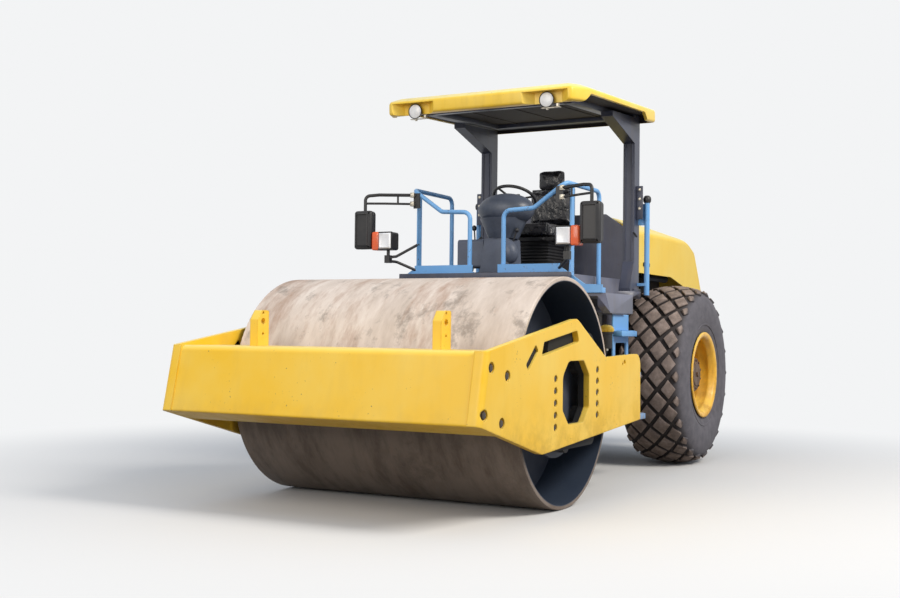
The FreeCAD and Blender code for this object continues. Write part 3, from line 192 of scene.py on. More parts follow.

# %% [markdown]
# ## Weathered paint
# Construction machines are sprayed with two-part enamel. Outdoors it fades in patches and is drawn
# paler on what looks up, dust lies on ledges, mud dries near the ground, and stones knock small
# chips out of it. An image texture could hold all that; noise in object space gives the same marks
# at a known size in millimetres, and follows each body when it turns.

# %% Weathered enamel
def weathered_enamel(
    name, fresh, faded, mud="#A5906F", dust=0.3, mud_top=1.1, chips=0.0, roughness=0.4, edge=0.006
):
    """Sprayed enamel: faded in patches and paler on top, streaked, muddy low down, with orange peel and
    small chips.
    """
    material, add, shader, here = new_finish(name, fresh, roughness)
    up = add("SeparateXYZ", {0: add("NewGeometry", {}, "Normal")}, "Z")
    level = add("SeparateXYZ", {0: here}, "Z")
    # fading in patches of about 400 mm, and paler on what looks up
    faint = marks(add, here, 400, 0.35, 0.75, 0.5, detail=4.0)
    colour = add("Mix", {0: faint, 6: linear(fresh), 7: linear(faded)}, 2, data_type="RGBA")
    looks_up = add("MapRange", {0: up, "From Min": 0.35, "From Max": 0.95, "To Max": 0.85})
    colour = add("Mix", {0: looks_up, 6: colour, 7: linear(faded)}, 2, data_type="RGBA")
    # rain streaks about 60 mm apart that run down the sides
    drawn = add("Mapping", {0: here, "Scale": (1.0, 1.0, 0.14)})
    grime = marks(add, drawn, 75, 0.50, 0.80, dust, detail=4.0, roughness=0.6)
    colour = add("Mix", {0: grime, 6: colour, 7: linear(mud)}, 2, data_type="RGBA")
    # dried splashes, 10 to 150 mm across, that end at a given height
    splash = marks(add, here, 150, 0.42, 0.64, 0.8, detail=6.0, roughness=0.68)
    near_ground = add("MapRange", {0: level, "From Min": mud_top, "From Max": 0.35})
    splash = add("Math", {0: splash, 1: near_ground}, operation="MULTIPLY")
    colour = add("Mix", {0: splash, 6: colour, 7: linear(mud)}, 2, data_type="RGBA")
    # chips of 3 to 15 mm in loose groups, down to brown primer
    knocks = marks(add, here, 20, 0.68 - chips, 0.70 - chips, detail=3.0, roughness=0.7)
    groups = marks(add, here, 260, 0.52, 0.60)
    knocks = add("Math", {0: knocks, 1: groups}, operation="MULTIPLY")
    colour = add("Mix", {0: knocks, 6: colour, 7: linear("#5A4536")}, 2, data_type="RGBA")
    dirt = add("Math", {0: grime, 1: splash}, operation="ADD", use_clamp=True)
    rough = add("MapRange", {0: dirt, "To Min": roughness, "To Max": 0.85})
    # orange peel is a few millimetres from crest to crest, drawn at 9 to show at all
    peel = add("TexNoise", {0: here, "Scale": 1000 / 9, "Detail": 2.0})
    # plate edges are broken by 6 to 12 mm, so the corner of every sheet catches the light
    edges = add("Bevel", {"Radius": edge}, samples=4)
    bump = add("Bump", {"Height": peel, "Strength": 0.10, "Distance": 0.0006, "Normal": edges})
    bump = add("Bump", {"Height": dirt, "Strength": 0.25, "Distance": 0.0012, "Normal": bump})
    link(shader, {"Base Color": colour, "Roughness": rough, "Normal": bump})
    return material


# Two-part enamel over primer, sprayed: an even gloss that shows soft highlights on the edges.
yellow_enamel = weathered_enamel(
    "enamel_yellow_sprayed", "#F4C21C", "#F3D66A", "#C49F4A", 0.12, 0.75, chips=0.005, edge=0.012
)
hood_enamel = weathered_enamel("enamel_hood_sprayed", "#F2C824", "#F3DC74", "#C9A858", 0.10)
roof_enamel = weathered_enamel("enamel_roof_sprayed", "#F6CC3A", "#F8E68E", "#A27A34", 0.20)
# painted shade: the brown of the plates at the back of the roof's lamp pockets stands for the shade in
# them
pocket_painted_shade_enamel = weathered_enamel("enamel_roof_painted_shade_in_pockets", "#A06A1C", "#B98430", "#6A4A24", 0.3)
blue_enamel = weathered_enamel("enamel_pale_blue_sprayed", "#68A5DE", "#8ABBE8", dust=0.12, chips=0.05)
slate_enamel = weathered_enamel("enamel_slate_sprayed", "#383D4E", "#5C6175", "#857868", 0.2)
grey_enamel = weathered_enamel("enamel_grey_sprayed", "#51535F", "#80839A", "#8C8070", 0.25)
chassis_enamel = weathered_enamel("enamel_chassis_sprayed", "#34363E", "#56575F", "#857766", 0.5)
rim_enamel = weathered_enamel(
    "enamel_rim_sprayed", "#FBC038", "#F9D468", "#B07A2C", 0.4, 1.2, roughness=0.3
)
hub_enamel = weathered_enamel("enamel_hub_greasy", "#5C4330", "#7A5A3C", "#3A2E26", 0.6, 1.3)

# %% [markdown]
# ## Rolled drum steel
# The drum is rolled plate that has lost its paint: pale with dried dust, brown where it rusts and
# dark where the ground keeps it wet, and darker low down, where damp soil and painted shade of the
# front beam lie. Brushed steel could be drawn with anisotropic gloss, but this steel is worn rough,
# so its colour does the work, drawn out around the way that it rolls.

# %% Drum steel
def middle_of(node):
    """The middle of a solid's box."""
    low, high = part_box(node)
    return (low + high) / 2


def from_axis(add, here, x, z):
    """How far each point is from an axle that lies across the machine."""
    place = {"Location": (-x, 0.0, -z), "Scale": (1.0, 0.0, 1.0)}
    return add("VectorMath", {0: add("Mapping", {0: here, **place})}, "Value", operation="LENGTH")


drum_plate, add, shader, here = new_finish("steel_plate_rolled_worn", "#CDBFAF", 0.6)
around = add("Mapping", {0: here, "Scale": (0.5, 1.7, 0.5), "Location": (-0.79, 0.0, -0.38)})
bands = add("TexNoise", {0: around, "Scale": 1000 / 330, "Detail": 6.0, "Roughness": 0.68})
tones = ((0.28, "#A5978B"), (0.42, "#C4B5A8"), (0.58, "#D6C8BC"), (0.74, "#E2D7CC"))
colour = add("ValToRGB", {0: bands}, stops=tones)
rust = marks(add, around, 520, 0.53, 0.68, 0.6, detail=6.0, roughness=0.72)
colour = add("Mix", {0: rust, 6: colour, 7: linear("#93684A")}, 2, data_type="RGBA")
aside = add("Mapping", {0: here, "Scale": (0.8, 1.0, 0.8), "Location": (3.0, 1.0, 2.0)})
damp = marks(add, aside, 260, 0.55, 0.66, 0.55, detail=6.0, roughness=0.74)
colour = add("Mix", {0: damp, 6: colour, 7: linear("#675B50")}, 2, data_type="RGBA")
# the part that rolled last still carries damp soil, and painted shade of the front beam darkens it too,
# up to about the height of the axle
height = add("SeparateXYZ", {0: here}, "Z")
levels = {"From Min": 0.95, "From Max": 0.50}
soil_and_beam_shade = add("MapRange", {0: height, **levels}, interpolation_type="SMOOTHSTEP")
levels = {"From Min": 0.30, "From Max": 0.60, "To Min": 0.55, "To Max": 0.92}
ragged = add("MapRange", {0: bands, **levels})
soil_and_beam_shade = add("Math", {0: soil_and_beam_shade, 1: ragged}, operation="MULTIPLY")
colour = add("Mix", {0: soil_and_beam_shade, 6: colour, 7: linear("#4F4136")}, 2, data_type="RGBA")
# inside the shell the plate is drawn dark slate blue
drum_x, _, drum_z = middle_of("drum_shell")
radius = from_axis(add, here, drum_x, drum_z)
inside = add("MapRange", {0: radius, "From Min": 0.738, "From Max": 0.732})
colour = add("Mix", {0: inside, 6: colour, 7: linear("#2B3647")}, 2, data_type="RGBA")
gloss = add("MapRange", {0: damp, "To Min": 0.64, "To Max": 0.42})
drawn = add("Mapping", {0: here, "Scale": (0.12, 1.0, 0.12)})
scratches = add("TexNoise", {0: drawn, "Scale": 1000 / 35, "Detail": 4.0, "Roughness": 0.7})
bump = add("Bump", {"Height": bands, "Strength": 0.3, "Distance": 0.003})
bump = add("Bump", {"Height": scratches, "Strength": 0.35, "Distance": 0.0012, "Normal": bump})
link(shader, {"Base Color": colour, "Roughness": gloss, "Normal": bump})

# %% [markdown]
# ## Tyre rubber
# Vulcanised rubber is soft black, but on a work site three tones show: pinkish grey dust on the
# blocks that touch the road, near black in the grooves between them, deepened with depth as painted
# shade, and warm grey on the sidewall.
# The tones could be painted on each face; here they follow the distance from the wheel's axis.

# %% Tyre rubber
wheel_x, tyre_y, wheel_z = middle_of("tyre_left")
tyre_rubber, add, shader, here = new_finish("rubber_tyre_vulcanised", "#5B5653", 0.82, ior=1.52)
radius = from_axis(add, here, wheel_x, wheel_z)
side = add("Math", {0: add("SeparateXYZ", {0: here}, "Y")}, operation="ABSOLUTE")
across = add("Math", {0: side, 1: tyre_y}, operation="SUBTRACT")
fallen = add("Math", {0: across, 1: across}, operation="MULTIPLY")
# the blocks' tops drop by 0.8 of the square of the distance from the middle
level = add("Math", {0: fallen, 1: 0.80, 2: radius}, operation="MULTIPLY_ADD")
cloud = add("TexNoise", {0: here, "Scale": 1000 / 70, "Detail": 5.0, "Roughness": 0.65})
greys = ((0.30, "#525056"), (0.70, "#68656B"))
wall = add("ValToRGB", {0: cloud}, stops=greys)
# painted shade: the rubber is drawn darker the deeper it lies in a groove, down to near black
depth = add("MapRange", {0: level, "From Min": 0.740, "From Max": 0.776})
groove_painted_shade = add("Mix", {0: depth, 6: linear("#141112"), 7: linear("#38312F")}, 2, data_type="RGBA")
is_tread = add("MapRange", {0: radius, "From Min": 0.690, "From Max": 0.735})
colour = add("Mix", {0: is_tread, 6: wall, 7: groove_painted_shade}, 2, data_type="RGBA")
dusts = ((0.32, "#6E6159"), (0.52, "#8C7C73"), (0.72, "#A89890"))
dust = add("ValToRGB", {0: cloud}, stops=dusts)
touched = add("MapRange", {0: level, "From Min": 0.776, "From Max": 0.785, "To Max": 0.95})
colour = add("Mix", {0: touched, 6: colour, 7: dust}, 2, data_type="RGBA")
pores = add("TexNoise", {0: here, "Scale": 1000 / 12, "Detail": 3.0})
bump = add("Bump", {"Height": pores, "Strength": 0.35, "Distance": 0.0006})
link(shader, {"Base Color": colour, "Normal": bump})


# %% [markdown]
# ## Castings, plastics and vinyl
# The dark pieces are cast iron, moulded plastic, rubber and vinyl. What tells them apart is how
# rough they are and what lies on them, so one recipe makes them all: a base, a moulded grain of a
# given size, and site dust in patches and on what looks up.

# %% Dusty dark finishes
def dusty(
    name, base, dust_colour, amount, roughness, metallic=0.0, patch_mm=120, grain_mm=2.5, grain=0.3
):
    """A dark finish with a moulded or cast grain, and dust in patches and on what looks up."""
    material, add, shader, here = new_finish(name, base, roughness, metallic=metallic)
    up = add("SeparateXYZ", {0: add("NewGeometry", {}, "Normal")}, "Z")
    patches = marks(add, here, patch_mm, 0.38, 0.72, 0.7, detail=5.0, roughness=0.65)
    lying = add("MapRange", {0: up, "From Min": 0.35, "From Max": 0.95, "To Max": 0.8})
    both = add("Math", {0: patches, 1: lying}, operation="MAXIMUM")
    cover = add("Math", {0: both, 1: amount}, operation="MULTIPLY")
    colour = add("Mix", {0: cover, 6: linear(base), 7: linear(dust_colour)}, 2, data_type="RGBA")
    rough = add("MapRange", {0: cover, "To Min": roughness, "To Max": 0.9})
    moulded = add("TexNoise", {0: here, "Scale": 1000 / grain_mm, "Detail": 2.0})
    # a coarse pattern is creases, about a fifth as deep as it is wide
    depth = max(0.0003, grain_mm / 5000 - 0.001)
    bump = add("Bump", {"Height": moulded, "Strength": grain, "Distance": depth})
    link(shader, {"Base Color": colour, "Roughness": rough, "Normal": bump})
    return material


# Moulded rubber is matt; ABS has a fine spark-eroded grain; cast iron is coarse under its paint.
mount_rubber = dusty("rubber_mount_moulded", "#26262A", "#6B6660", 0.35, 0.7)
# near black iron: painted shade on the mount plates and slot plates that lie deep behind the side
# plates
painted_shade_iron = dusty("iron_plate_painted_shade", "#0E0F12", "#2A2724", 0.15, 0.85)
oiled_bolts = dusty("steel_bolt_black_oxide", "#2A2622", "#6E5A3A", 0.45, 0.45, grain_mm=4.0)
hose_rubber = dusty("rubber_hose_extruded", "#1E1E20", "#6E665E", 0.4, 0.6)
black_plastic = dusty("abs_black_moulded", "#1A1A1D", "#5E5A57", 0.22, 0.42)
console_plastic = dusty("abs_slate_moulded", "#3B424F", "#7A8294", 0.35, 0.38)
column_plastic = dusty("abs_grey_moulded", "#515867", "#7E8698", 0.35, 0.42)
pin_steel = dusty("steel_pin_machined", "#8A8784", "#6B5A48", 0.5, 0.4, metallic=1.0, grain_mm=4.0)
scraper_steel = dusty("steel_scraper_worn", "#5E554D", "#8F7C62", 0.6, 0.6)
carrier_iron = dusty("iron_carrier_cast", "#353D4C", "#67676D", 0.45, 0.6, grain_mm=6.0, grain=0.6)
dark_iron = dusty("iron_bracket_cast", "#231F20", "#4E443C", 0.4, 0.6, grain_mm=6.0, grain=0.5)
# Zinc-plated bolts and fittings keep a bright edge under the dust.
bolt_zinc = dusty("steel_bolt_zinc_plated", "#B9B4A8", "#8C7B64", 0.45, 0.35, metallic=1.0, patch_mm=30)
horn_brass = dusty("brass_horn_pressed", "#C08A3A", "#7A5A30", 0.4, 0.35, metallic=1.0, patch_mm=40)
# Headliner board under the roof: dark and matt, with the brown of dust that sticks to it; its near
# black base is painted shade.
roof_liner_painted_shade = dusty("board_lining_painted_shade_dark_red", "#140808", "#2A1C1A", 0.2, 0.8)
# Vinyl is embossed with fine creases, and its film gives a soft sheen along the seat's edges.
seat_vinyl = dusty(
    "vinyl_seat_embossed", "#131418", "#6E6C70", 0.34, 0.20, patch_mm=70, grain_mm=55.0, grain=0.8
)


# %% Chrome, glass and lamp plastics
def clear_shell(name, colour, roughness, ior, metallic=0.0, fleck="#8C8478", amount=0.25):
    """A smooth shiny finish with a little dust and fine scuffs, and nothing else."""
    material, add, shader, here = new_finish(name, colour, roughness, ior, metallic)
    film = marks(add, here, 60, 0.45, 0.75, amount, detail=5.0, roughness=0.7)
    base = add("Mix", {0: film, 6: linear(colour), 7: linear(fleck)}, 2, data_type="RGBA")
    rough = add("MapRange", {0: film, "To Min": roughness, "To Max": 0.8})
    link(shader, {"Base Color": base, "Roughness": rough})
    return material


# Hard chrome on the rods, silvered glass in the mirrors, polycarbonate over the lamps.
rod_chrome = clear_shell("chrome_rod_plated", "#D6D8DA", 0.10, 1.5, 1.0)
mirror_silver = clear_shell("glass_mirror_silvered", "#C9D2DA", 0.04, 1.5, 1.0)
lamp_lens = clear_shell("polycarbonate_lens_clear", "#F4F6F8", 0.12, 1.58)
amber_lens = clear_shell("polycarbonate_lens_amber", "#F0642A", 0.15, 1.58)
red_lens = clear_shell("polycarbonate_lens_red", "#B01E16", 0.15, 1.58)
# %% [markdown]
# ## A finish for every solid
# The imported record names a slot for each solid. Giving each slot one material would be quickest,
# but hood, roof, posts and drum heads differ from their slots, so they are named one by one.

# %% Give each CAD node its finish
by_slot = {
    "yellow_paint": yellow_enamel,
    "drum_steel": drum_plate,
    "cast_carrier": carrier_iron,
    "mount_rubber": mount_rubber,
    "scraper_steel": scraper_steel,
    "tyre_rubber": tyre_rubber,
    "rim_paint": rim_enamel,
    "hub_paint": hub_enamel,
    "chassis_paint": chassis_enamel,
    "grey_paint": grey_enamel,
    "blue_paint": blue_enamel,
    "pin_steel": pin_steel,
    "rod_chrome": rod_chrome,
    "black_plastic": black_plastic,
    "console_plastic": console_plastic,
    "seat_vinyl": seat_vinyl,
    "lamp_lens": lamp_lens,
}
by_name = {
    "hood": hood_enamel,
    "canopy": roof_enamel,
    "rops_post_left": slate_enamel,
    "rops_post_right": slate_enamel,
    "rops_top": slate_enamel,
    "drum_head_left": carrier_iron,
    "drum_head_right": carrier_iron,
    "console_column": column_plastic,
    # the mount plates, seen through the side plates' windows, are near black as painted shade
    "mount_plate_left": painted_shade_iron,
    "mount_plate_right": painted_shade_iron,
    "engine_block": dark_iron,
    "tail_lamps": red_lens,
}
for name, solid in nodes.items():
    for slot in solid.material_slots:
        slot.material = by_name.get(name) or by_slot[slot.material.name.split(".")[0]]
print("solids with a finish", len(nodes))

# %% [markdown]
# ## How the new pieces are shaped
# In Blender a piece starts as a primitive and is pushed into shape in edit mode. The same moves
# work in a script when the faces are picked by the way they look instead of by a click. These
# helpers only pick, outline and finish; the shaping itself stays in each piece's own cell.

# %% Pick faces, and press them in or out
FORE, LEFT, UP = Vector((1, 0, 0)), Vector((0, 1, 0)), Vector((0, 0, 1))


def in_mode(mode):
    """Goes into edit or object mode."""
    bpy.ops.object.mode_set(mode=mode)


def alone(piece):
    """Selects one piece and nothing else, in object mode."""
    if bpy.context.mode != "OBJECT":
        in_mode("OBJECT")
    bpy.ops.object.select_all(action="DESELECT")
    piece.select_set(True)
    bpy.context.view_layer.objects.active = piece


def nothing_picked(piece, kind):
    """Deselects a piece's whole mesh, and leaves it ready for picking faces or edges."""
    alone(piece)
    in_mode("EDIT")
    bpy.ops.mesh.select_mode(type=kind)
    bpy.ops.mesh.select_all(action="DESELECT")
    in_mode("OBJECT")


def pick_faces(piece, way, both=False):
    """Goes into edit mode with only those faces selected that look a way, or also against it."""
    nothing_picked(piece, "FACE")
    for face in piece.data.polygons:
        facing = face.normal.dot(way)
        face.select = facing > 0.9 or (both and facing < -0.9)
    in_mode("EDIT")


def pressed(piece, way, *steps, both=False):
    """Presses the faces that look a way: each step is an inset and a push along that way."""
    pick_faces(piece, way, both)
    for inset, push in steps:
        bpy.ops.mesh.inset(thickness=inset)
        bpy.ops.transform.translate(value=way * push)
    in_mode("OBJECT")
    return piece


def whole(piece):
    """Goes into edit mode with everything selected."""
    alone(piece)
    in_mode("EDIT")
    bpy.ops.mesh.select_mode(type="VERT")
    bpy.ops.mesh.select_all(action="SELECT")


# %% Primitives, outlines and what is turned on a lathe
def primitive(add_one, **settings):
    """Adds one primitive, with its place, turn and size fixed in its mesh."""
    bpy.ops.object.select_all(action="DESELECT")
    add_one(**settings)
    bpy.ops.object.transform_apply(location=True, rotation=True, scale=True)
    return bpy.context.object


def outline(points):
    """A closed chain of edges, drawn by pulling one vertex from point to point."""
    piece = primitive(bpy.ops.mesh.primitive_plane_add, size=0.001, location=points[0])
    whole(piece)
    bpy.ops.mesh.merge(type="CENTER")
    for here, there in zip(points, points[1:]):
        step = Vector(there) - Vector(here)
        bpy.ops.mesh.extrude_vertices_move(TRANSFORM_OT_translate={"value": step})
    in_mode("OBJECT")
    last = len(piece.data.vertices) - 1
    for vertex in piece.data.vertices:
        vertex.select = vertex.index in (0, last)
    for edge in piece.data.edges:
        edge.select = False
    in_mode("EDIT")
    bpy.ops.mesh.edge_face_add()
    return piece


def turned(section, centre, axis, steps=64):
    """A piece turned on a lathe: a closed section of (radius, place along the axis) is spun."""
    out = FORE if axis == UP else UP
    piece = outline([Vector(centre) + out * radius + axis * along for radius, along in section])
    whole(piece)
    bpy.ops.mesh.spin(steps=steps, angle=2 * math.pi, center=centre, axis=axis)
    bpy.ops.mesh.select_all(action="SELECT")
    bpy.ops.mesh.remove_doubles(threshold=0.0001)
    bpy.ops.mesh.normals_make_consistent(inside=False)
    in_mode("OBJECT")
    return piece


def block(centre, size, bevel=0.0, segments=2):
    """A cube at its place and size, with its edges rounded."""
    piece = primitive(bpy.ops.mesh.primitive_cube_add, size=1, location=centre, scale=size)
    if bevel:
        whole(piece)
        bpy.ops.mesh.bevel(offset=bevel, segments=segments, affect="EDGES")
        in_mode("OBJECT")
    return piece


def bar(start, end, radius, vertices=16, bevel=0.0):
    """A round bar between two points, with its ends' edges rounded."""
    a, b = Vector(start), Vector(end)
    piece = primitive(
        bpy.ops.mesh.primitive_cylinder_add,
        vertices=vertices,
        radius=radius,
        depth=(b - a).length,
        location=(a + b) / 2,
        rotation=(b - a).to_track_quat("Z", "Y").to_euler(),
    )
    if bevel:
        pick_faces(piece, (b - a).normalized(), both=True)
        bpy.ops.mesh.bevel(offset=bevel, segments=2, affect="EDGES")
        in_mode("OBJECT")
    return piece


def pipe(name, points, radius, sides=12):
    """A tube along a smooth path through a few points, made a mesh at once."""
    curve = bpy.data.curves.new(name, "CURVE")
    curve.dimensions = "3D"
    curve.bevel_depth = radius
    curve.bevel_resolution = sides // 4
    curve.use_fill_caps = True
    spline = curve.splines.new("NURBS")
    spline.points.add(len(points) - 1)
    for point, place in zip(spline.points, points):
        point.co = (*place, 1.0)
    spline.order_u = 3
    spline.use_endpoint_u = True
    spline.resolution_u = 8
    route = bpy.data.objects.new(name, curve)
    bpy.context.scene.collection.objects.link(route)
    alone(route)
    bpy.ops.object.convert(target="MESH")
    return bpy.context.object


# %% Join, copy, turn, mirror and finish
def together(pieces):
    """Joins pieces into the first one."""
    alone(pieces[0])
    for piece in pieces[1:]:
        piece.select_set(True)
    bpy.ops.object.join()
    return bpy.context.object


def copied(piece, move=(0, 0, 0)):
    """A copy with its own mesh, moved by a step."""
    alone(piece)
    bpy.ops.object.duplicate()
    twin = bpy.context.object
    twin.data.transform(Matrix.Translation(move))
    return twin


def turned_by(piece, degrees, axis, about):
    """Turns a piece's mesh about an axis through a point."""
    centre = Vector(about)
    spin = Matrix.Rotation(math.radians(degrees), 4, axis)
    piece.data.transform(Matrix.Translation(centre) @ spin @ Matrix.Translation(-centre))
    return piece


def ring_of(pattern, count, axis, about, first=0.0):
    """Copies a pattern evenly round an axis, and drops the pattern itself."""
    copies = [turned_by(copied(pattern), 360 / count * i + first, axis, about) for i in range(count)]
    bpy.data.objects.remove(pattern)
    return copies


def row_of(pattern, count, step):
    """Copies a pattern along the machine, and drops the pattern itself."""
    copies = [copied(pattern, (i * step, 0, 0)) for i in range(count)]
    bpy.data.objects.remove(pattern)
    return copies


def finished(piece, name, material, body="tractor", sharp=35, stands_for=None):
    """Names a piece or some joined ones, gives them a finish, shading and a body to ride on."""
    if isinstance(piece, list):
        piece = together(piece)
    alone(piece)
    bpy.ops.object.transform_apply(location=True, rotation=True, scale=True)
    piece.name = name
    piece.data.name = name
    piece.data.materials.clear()
    piece.data.materials.append(material)
    if sharp:
        bpy.ops.object.shade_smooth_by_angle(angle=math.radians(sharp))
    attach(piece, body)
    if stands_for:
        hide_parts(stands_for)
    return piece


def on_both_sides(piece, name, material, body="tractor", sharp=35, stands_for=None):
    """Finishes a piece on the left, and its mirror image across the machine's middle."""
    if isinstance(piece, list):
        piece = together(piece)
    for side in ("_left", "_right"):
        if side == "_right":
            piece = copied(piece)
            piece.data.transform(Matrix.Scale(-1, 4, LEFT))
            piece.data.flip_normals()
        rides_on = body.replace("_left", side)
        finished(piece, name + side, material, rides_on, sharp, stands_for and stands_for + side)


# %% [markdown]
# ## Tyres with diamond tread
# A roller's drive tyre carries squares of rubber set corner to corner, twenty-two round, with
# grooves between them. They could be cut into the carcass by a displacement image, but a real
# block throws a real shadow: so the carcass is turned on a lathe, one pitch of blocks is modelled
# once, and an array carries it round.

# %% Turn the carcass
axle_point = (wheel_x, tyre_y, wheel_z)
# (radius, distance from the middle of the tread) of the outer half of the profile
half_profile = (
    (0.759, 0.0), (0.756, 0.080), (0.746, 0.150), (0.732, 0.205), (0.718, 0.243), (0.690, 0.270),
    (0.645, 0.286), (0.595, 0.292), (0.545, 0.293), (0.490, 0.289), (0.456, 0.281), (0.452, 0.285),
    (0.440, 0.282), (0.436, 0.275), (0.404, 0.268), (0.379, 0.258), (0.337, 0.250),
)
profile = [(r, -y) for r, y in reversed(half_profile)] + list(half_profile[1:])
carcass = turned(profile, axle_point, LEFT, 120)
print("carcass faces", len(carcass.data.polygons))

# %% Shape one pitch of tread blocks
pitches = 22
pitch_angle = 2 * math.pi / pitches
crown_fall = 0.80  # the tread's height falls by this times the square of the distance across
shoulder = 0.185  # from here outwards it falls faster
# (turn in pitches, distance across, half length round, half width) of the blocks in one pitch;
# those at the shoulders are small knobs
block_places = (
    (0.0, 0.0, 0.090, 0.074),
    (0.5, 0.095, 0.090, 0.074),
    (0.5, -0.095, 0.090, 0.074),
    (0.0, 0.182, 0.082, 0.062),
    (0.0, -0.182, 0.082, 0.062),
    (0.5, 0.236, 0.050, 0.036),
    (0.5, -0.236, 0.050, 0.036),
)
blocks = []
for turn_share, across, half_length, half_width in block_places:
    diamond = primitive(
        bpy.ops.mesh.primitive_cylinder_add,
        vertices=4,
        radius=1,
        depth=0.05,
        location=(0, 0, 0),
        scale=(half_length, half_width, 1),
    )
    whole(diamond)
    bpy.ops.mesh.bevel(offset=0.007, segments=2, affect="EDGES")
    in_mode("OBJECT")
    past = max(0.0, abs(across) - shoulder)
    crown = 0.787 - crown_fall * across**2 - 6.5 * past**2
    slope = math.atan(2 * crown_fall * across + math.copysign(13 * past, across))
    if abs(across) > 0.2:
        crown += 0.016
    seat = Matrix.Rotation(-slope, 4, "X")
    up = Matrix.Translation((0, across, crown - 0.025))
    turn_by = Matrix.Rotation(turn_share * pitch_angle, 4, "Y")
    diamond.data.transform(Matrix.Translation(axle_point) @ turn_by @ up @ seat)
    blocks.append(diamond)
pitch_of_tread = together(blocks)

# %% Carry the blocks round and join them to the carcass
bpy.ops.object.select_all(action="DESELECT")
bpy.ops.object.empty_add(location=axle_point)
pivot = bpy.context.object
alone(pitch_of_tread)
bpy.context.scene.cursor.location = axle_point
bpy.ops.object.origin_set(type="ORIGIN_CURSOR")
pivot.rotation_euler = (0, pitch_angle, 0)
round_array = pitch_of_tread.modifiers.new("round_the_wheel", "ARRAY")
round_array.count = pitches
round_array.use_relative_offset = False
round_array.use_object_offset = True
round_array.offset_object = pivot
bpy.ops.object.modifier_apply(modifier=round_array.name)
bpy.data.objects.remove(pivot)
bpy.ops.object.transform_apply(location=True, rotation=True, scale=True)
tyre = together([carcass, pitch_of_tread])
on_both_sides(tyre, "tyre_tread", tyre_rubber, "wheel_left", stands_for="tyre")
print("tyre faces", len(tyre.data.polygons), "blocks", pitches * len(block_places))

# %% [markdown]
# ## Rims
# A wide-base rim is rolled from plate: a flange that holds the bead, a gutter, a deep barrel and a
# disc welded far inside. It could be cut from a cylinder with insets; turning one outline on a
# lathe gives all its soft ridges at once.

# %% Turn the rims
# (radius, distance from the middle of the tyre) round the section, from the outer lip
rim_section = (
    (0.350, 0.279), (0.362, 0.281), (0.374, 0.280), (0.378, 0.275), (0.377, 0.268), (0.360, 0.262),
    (0.340, 0.255), (0.335, 0.240), (0.335, -0.240), (0.340, -0.255), (0.360, -0.262),
    (0.377, -0.268), (0.378, -0.275), (0.374, -0.280), (0.350, -0.279), (0.332, -0.266),
    (0.322, -0.240), (0.320, -0.050), (0.300, -0.037), (0.140, -0.037), (0.140, -0.014),
    (0.240, -0.014), (0.262, -0.002), (0.282, 0.002), (0.300, 0.012), (0.311, 0.030),
    (0.316, 0.060), (0.317, 0.110), (0.312, 0.122), (0.311, 0.134), (0.317, 0.148), (0.319, 0.200),
    (0.313, 0.212), (0.313, 0.222), (0.320, 0.236), (0.328, 0.256), (0.335, 0.270),
)
rim = turned(rim_section, axle_point, LEFT, 96)
on_both_sides(rim, "rim_turned", rim_enamel, "wheel_left", 50, "rim")


def wheel_bar(start, end, radius, vertices, bevel):
    """A bar between two points that are given from the axle, with their Y from the middle."""
    hub = Vector((wheel_x, 0, wheel_z))
    return bar(hub + Vector(start), hub + Vector(end), radius, vertices, bevel)


nut = wheel_bar((0, tyre_y - 0.016, 0.208), (0, tyre_y + 0.006, 0.208), 0.019, 6, 0.003)
on_both_sides(ring_of(nut, 12, "Y", axle_point), "wheel_nuts", hub_enamel, "wheel_left")
print("rim faces", len(rim.data.polygons))

# %% Valves, and the final drive's cover with its bolts
hub_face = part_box("wheel_hub_left")[1].y
drive_section = (
    (0.0, hub_face - 0.03), (0.142, hub_face - 0.03), (0.150, hub_face - 0.02),
    (0.150, 0.960), (0.144, 0.974), (0.104, 0.981), (0.098, 0.990), (0.0, 0.990),
)
drive = turned(drive_section, (wheel_x, 0, wheel_z), LEFT, 64)
on_both_sides(drive, "final_drive_cover", hub_enamel, "wheel_left")
screw = wheel_bar((0, 0.970, 0.124), (0, 0.988, 0.124), 0.010, 6, 0.002)
screws = ring_of(screw, 10, "Y", axle_point)
plug = wheel_bar((0, 0.980, 0), (0, 1.004, 0), 0.022, 8, 0.004)
valve = wheel_bar((0.21, tyre_y + 0.10, 0.225), (0.20, tyre_y + 0.17, 0.215), 0.006, 10, 0.001)
foot = wheel_bar((0.222, tyre_y + 0.09, 0.233), (0.208, tyre_y + 0.112, 0.222), 0.012, 12, 0.002)
drive_bolts = screws + [plug, valve, foot]
on_both_sides(drive_bolts, "final_drive_bolts", hub_enamel, "wheel_left")

# %% [markdown]
# ## Bolts of the drum frame
# Each side plate is bolted on through recessed holes: five each side of the window and four at the
# front beam. A bolt could be a plain cylinder at this distance, but the six flats catch the light,
# so one head with its washer is modelled and copied into every hole.

# %% One bolt head with its washer
def bolt_head(place, way, across_flats, head):
    """A hexagon head on a washer, standing on a point and facing a way."""
    foot = Vector(place)
    corner, edge = across_flats / math.sqrt(3), across_flats * 0.07
    hexagon = bar(foot + way * 0.003, foot + way * head, corner, 6, edge)
    washer = bar(foot, foot + way * 0.004, across_flats * 0.68, 20, 0.001)
    return together([hexagon, washer])


